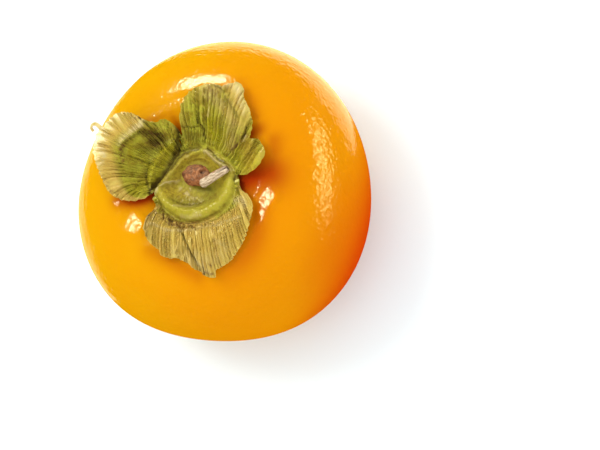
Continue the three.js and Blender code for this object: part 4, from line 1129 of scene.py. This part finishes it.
def toward(bearing, elevation):
    """The unit vector that points to a bearing and an elevation."""
    turn, rise = math.radians(bearing), math.radians(elevation)
    return Vector((math.cos(turn) * math.cos(rise), math.sin(turn) * math.cos(rise), math.sin(rise)))


def soft_light(name, bearing, elevation, width, height, radiance, tint=GLOSS_TINT, distance=LIGHT_DISTANCE):
    """A rectangular light that faces the fruit; it makes the highlights, or with no tint all the rest."""
    lamp = bpy.data.lights.new(name, "AREA")
    lamp.shape = "RECTANGLE"
    lamp.size, lamp.size_y = width, height
    lamp.energy = radiance * math.pi * width * height
    lamp.color = tint or (1, 1, 1)
    light = bpy.data.objects.new(name, lamp)
    bpy.context.scene.collection.objects.link(light)
    light.visible_diffuse, light.visible_glossy, light.visible_camera = not tint, bool(tint), False
    centre = Vector(LIGHT_AIM)
    aim(light, centre + toward(bearing, elevation) * distance, centre)
    return light


def build_surround(looks):
    """The plain white surroundings and the pale floor."""
    scene = bpy.context.scene
    scene.view_settings.view_transform = "Standard"
    world = bpy.data.worlds.new("studio")
    world.use_nodes = True
    background = world.node_tree.nodes["Background"]
    background.inputs["Color"].default_value = (1, 1, 1, 1)
    background.inputs["Strength"].default_value = looks.surround
    world.cycles_visibility.glossy = False
    scene.world = world

    bpy.ops.mesh.primitive_plane_add(size=looks.floor_size)
    floor = bpy.context.object
    floor.name = "floor"
    pale = Shader("pale_floor")
    tone = pale.mix(pale.noise(60.0), looks.floor_colour, tuple(0.985 * c for c in looks.floor_colour))
    floor.data.materials.append(pale.finish(Base_Color=tone, Roughness=0.8, Specular_IOR_Level=0.2))
    floor.visible_glossy = False


def place_lights(looks):
    """The sun, the windows, and the cards that lie on the floor facing up, all of them rectangles."""
    soft_light("sun", 150, 64, 0.3, 0.3, looks.sun, tint=None)
    soft_light("window", 156, 58, 0.07, 0.07, looks.window)
    soft_light("back_window", 114, 34, 0.32, 0.18, looks.back)
    soft_light("low_window", 126, 40, 0.12, 0.1, LOW_WINDOW_SHARE * looks.back)
    soft_light("side_window", 17, 0.5, 0.28, 0.075, looks.side, SIDE_TINT, distance=0.42)
    # Each card's name, bearing, reach, width, depth, radiance and tint.
    cards = (
        ("back_card", 76, 0.062, 0.1, 0.055, BACK_CARD_SHARE * looks.card, GLOSS_TINT),
        ("left_card", 176, 0.08, 0.08, 0.07, LEFT_CARD_SHARE * looks.card, GLOSS_TINT),
        ("side_card", 17, 0.32, 0.25, 0.24, looks.side_card, SIDE_TINT),
    )
    for name, bearing, reach, width, depth, radiance, tint in cards:
        card = soft_light(name, 0, 0, width, depth, radiance, tint)
        card.location = (*(toward(bearing, 0) * reach)[:2], CARD_HEIGHT)
        card.rotation_euler = (math.pi, 0, math.radians(bearing - 90))


def place_camera(looks):
    """A camera that looks down on the fruit, turned about its view so that +X runs to the right."""
    camera = bpy.data.objects.new("camera", bpy.data.cameras.new("camera"))
    bpy.context.scene.collection.objects.link(camera)
    bpy.context.scene.camera = camera
    tilt, turn = math.radians(90 - looks.camera_elevation), math.radians(looks.camera_bearing)
    back = Vector((math.sin(tilt) * math.cos(turn), math.sin(tilt) * math.sin(turn), math.cos(tilt)))
    right = (Vector((1, 0, 0)) - back * back.x).normalized()
    up = back.cross(right)
    camera.data.sensor_width = 36.0
    camera.data.lens = looks.lens
    camera.data.clip_start = 0.01
    waist = Vector((*(AXIS * MM), WAIST_HEIGHT * MM))
    target = waist + right * looks.shift_right + up * looks.shift_up
    camera.matrix_world = Matrix((right, up, back)).transposed().to_4x4()
    camera.location = target + back * looks.distance


def build_stage(looks):
    """The surroundings, the floor, the lights and the camera."""
    build_surround(looks)
    place_lights(looks)
    place_camera(looks)


# ------------------------------------------------------------------ settings


def colour(name, description, default):
    """A colour that a user can change."""
    return FloatVectorProperty(
        name=name, description=description, subtype="COLOR", size=3,
        min=0, max=1, default=default
    )


def amount(name, description, default, least=0):
    """A number that a user can change, down to the least that makes sense."""
    return FloatProperty(name=name, description=description, default=default, min=least)


class FruitLooks(bpy.types.PropertyGroup):
    rings: IntProperty(name="Rings", description="Rings from the base to the top", default=190, min=20)
    round_count: IntProperty(name="Columns", description="Columns round the fruit", default=340, min=24)
    unevenness: amount("Unevenness", "Swell of the skin in millimetres", 0.12)
    crown_dip: amount("Crown dips", "Depth of the dips in the crown in millimetres", 0.7)
    scar_size: amount("Scar", "Radius of the blossom scar in millimetres", 1.6)
    pore_depth: amount("Pores", "Depth of the pores in millimetres", 0.11)
    ripple_depth: amount("Ripple", "Depth of the skin's ripple in millimetres", 0.16)
    blush_and_shade_bearing: FloatProperty(
        name="Blush side", description="Bearing of the reddest side in degrees", default=-18.0
    )
    gold: colour("Gold", "Skin on the pale side", (0.655, 0.325, 0.001))
    deep_gold: colour("Deep gold", "Mottles in the gold", (0.66, 0.30, 0.001))
    # Orange and the reddest skin are laid on partly as painted shade on the side and low flank turned from
    # the light.
    orange: colour("Orange", "Ripe skin", (0.68, 0.215, 0.001))
    blush_and_shade: colour("Blush", "The reddest skin", (0.56, 0.042, 0.001))
    # Pale waxy skin, laid on partly as a painted sheen.
    bloom_and_sheen: colour("Bloom", "Pale bloom low on the pale side", (0.66, 0.38, 0.06))
    # Deep red laid on as the calyx's painted shadow and as painted shade in the hollow under it.
    hollow: colour("Hollow", "Deep red beside the calyx", (0.36, 0.03, 0.002))
    scar: colour("Scar", "The dry blossom scar", (0.03, 0.015, 0.008))


class CalyxLooks(bpy.types.PropertyGroup):
    disc_rows: IntProperty(
        name="Disc rows", description="Rows from the stem's seat to the disc's rim", default=26, min=8
    )
    lobe_rows: IntProperty(
        name="Lobe rows", description="Rows from the disc's rim to a lobe's edge", default=56, min=8
    )
    blade: amount("Thickness", "Thickness of a lobe in millimetres", 0.55, 0.1)
    lip: amount("Lip", "How far the thick side of the collar leans out, in millimetres", 0.4)
    disc_dryness: FloatProperty(
        name="Disc dryness", description="How papery the disc is", default=0.12, min=0, subtype="FACTOR"
    )
    olive: colour("Olive", "Shaded leafy green", (0.28, 0.22, 0.02))
    leaf_green: colour("Leaf green", "Leafy green", (0.43, 0.41, 0.04))
    # Also laid on as painted light on the roll, the lobes and their edges.
    light_green: colour("Light green", "The collar's light green", (0.385, 0.34, 0.016))
    khaki: colour("Khaki", "The disc's yellowish floor", (0.47, 0.355, 0.03))
    khaki_shade: colour("Dark khaki", "Mottles in the disc's floor", (0.29, 0.195, 0.018))
    tan: colour("Tan", "Papery tan", (0.53, 0.345, 0.07))
    straw: colour("Straw", "Papery straw", (0.66, 0.5, 0.115))
    brown: colour("Brown", "Dry stains", (0.17, 0.075, 0.02))
    # Also laid on as painted highlights and glints.
    cream_and_glint: colour("Cream", "Bleached dry edges", (0.62, 0.50, 0.22))
    # Dark colour for painted shade and shadow.
    crease_shade: colour("Crease", "Dark creases", (0.05, 0.03, 0.006))


class StemLooks(bpy.types.PropertyGroup):
    stub_thick: amount("Thick end", "Radius of the stub at the knob in millimetres", 1.25, 0.2)
    stub_thin: amount("Thin end", "Radius of the stub at its torn end in millimetres", 0.9, 0.2)
    wrinkle: amount("Wrinkles", "Distance between the knob's wrinkles in millimetres", 1.15, 0.2)
    bark: colour("Bark", "Brown bark", (0.42, 0.155, 0.05))
    bark_dark: colour("Dark bark", "Cracks in the bark", (0.16, 0.055, 0.02))
    wood: colour("Wood", "Pale dry wood", (0.78, 0.62, 0.42))
    wood_shade: colour("Wood grain", "Grain of the wood", (0.36, 0.24, 0.13))
    # Dark colour for the shade painted in the knob's hollow, the stub's split and its torn end.
    pit_shade: colour("Pit", "Dark hollows", (0.03, 0.014, 0.008))


class StageLooks(bpy.types.PropertyGroup):
    floor_size: FloatProperty(name="Floor", description="Side of the floor", default=4.0, unit="LENGTH")
    floor_colour: colour("Floor colour", "Plain pale floor", (0.83, 0.94, 0.965))
    surround: amount("Surround", "Brightness of the surroundings", 1.28)
    sun: amount("Sun", "Radiance of the light that casts the shadows", 7.8)
    window: amount("Window", "Radiance of the small window high on the left", 500.0)
    back: amount("Back window", "Radiance of the window behind", 300.0)
    side: amount("Side window", "Radiance of the low window on the right", 85.0)
    side_card: amount("Side card", "Radiance of the card before the low window", 45.0)
    card: amount("Cards", "Radiance of the two cards close to the fruit", 11.0)
    camera_elevation: FloatProperty(
        name="Elevation", description="Camera's elevation in degrees", default=71.0
    )
    camera_bearing: FloatProperty(
        name="Bearing", description="Bearing of the camera in degrees", default=-27.0
    )
    distance: FloatProperty(
        name="Distance", description="Camera's distance from the fruit's waist", default=0.6, unit="LENGTH"
    )
    lens: FloatProperty(name="Lens", description="Focal length", default=138.24, unit="CAMERA")
    shift_right: FloatProperty(
        name="Aim right", description="How far right of the fruit the camera aims",
        default=0.0189, unit="LENGTH"
    )
    shift_up: FloatProperty(
        name="Aim up", description="How far above the fruit the camera aims", default=-0.0076, unit="LENGTH"
    )


# ------------------------------------------------------------------ operators and panel


class PERSIMMON_OT_fruit(bpy.types.Operator):
    """Build the fruit and its skin"""

    bl_idname = "persimmon.fruit"
    bl_label = "Fruit"

    def execute(self, context):
        build_fruit(context.scene.persimmon_fruit)
        return {"FINISHED"}


class PERSIMMON_OT_calyx(bpy.types.Operator):
    """Build the calyx"""

    bl_idname = "persimmon.calyx"
    bl_label = "Calyx"

    def execute(self, context):
        build_calyx(context.scene.persimmon_calyx)
        return {"FINISHED"}


class PERSIMMON_OT_stem(bpy.types.Operator):
    """Build the stem"""

    bl_idname = "persimmon.stem"
    bl_label = "Stem"

    def execute(self, context):
        build_stem(context.scene.persimmon_stem)
        return {"FINISHED"}


class PERSIMMON_OT_stage(bpy.types.Operator):
    """Set up the floor, the lights and the camera"""

    bl_idname = "persimmon.stage"
    bl_label = "Stage"

    def execute(self, context):
        build_stage(context.scene.persimmon_stage)
        return {"FINISHED"}


class VIEW3D_PT_persimmon(bpy.types.Panel):
    bl_label = "Persimmon"
    bl_space_type = "VIEW_3D"
    bl_region_type = "UI"
    bl_category = "Persimmon"

    def draw(self, context):
        for name in ("stage", "fruit", "calyx", "stem"):
            self.layout.operator("persimmon." + name)
            settings = getattr(context.scene, "persimmon_" + name)
            for key in settings.__annotations__:
                self.layout.prop(settings, key)


SETTINGS = {"fruit": FruitLooks, "calyx": CalyxLooks, "stem": StemLooks, "stage": StageLooks}
OPERATORS = (PERSIMMON_OT_stage, PERSIMMON_OT_fruit, PERSIMMON_OT_calyx, PERSIMMON_OT_stem)


def register():
    for cls in (*SETTINGS.values(), *OPERATORS, VIEW3D_PT_persimmon):
        bpy.utils.register_class(cls)
    for name, cls in SETTINGS.items():
        setattr(bpy.types.Scene, "persimmon_" + name, PointerProperty(type=cls))


def unregister():
    for name in SETTINGS:
        delattr(bpy.types.Scene, "persimmon_" + name)
    for cls in (VIEW3D_PT_persimmon, *OPERATORS, *SETTINGS.values()):
        bpy.utils.unregister_class(cls)


def main():
    register()
    bpy.ops.persimmon.stage()
    bpy.ops.persimmon.fruit()
    bpy.ops.persimmon.calyx()
    bpy.ops.persimmon.stem()


if __name__ == "__main__":
    main()
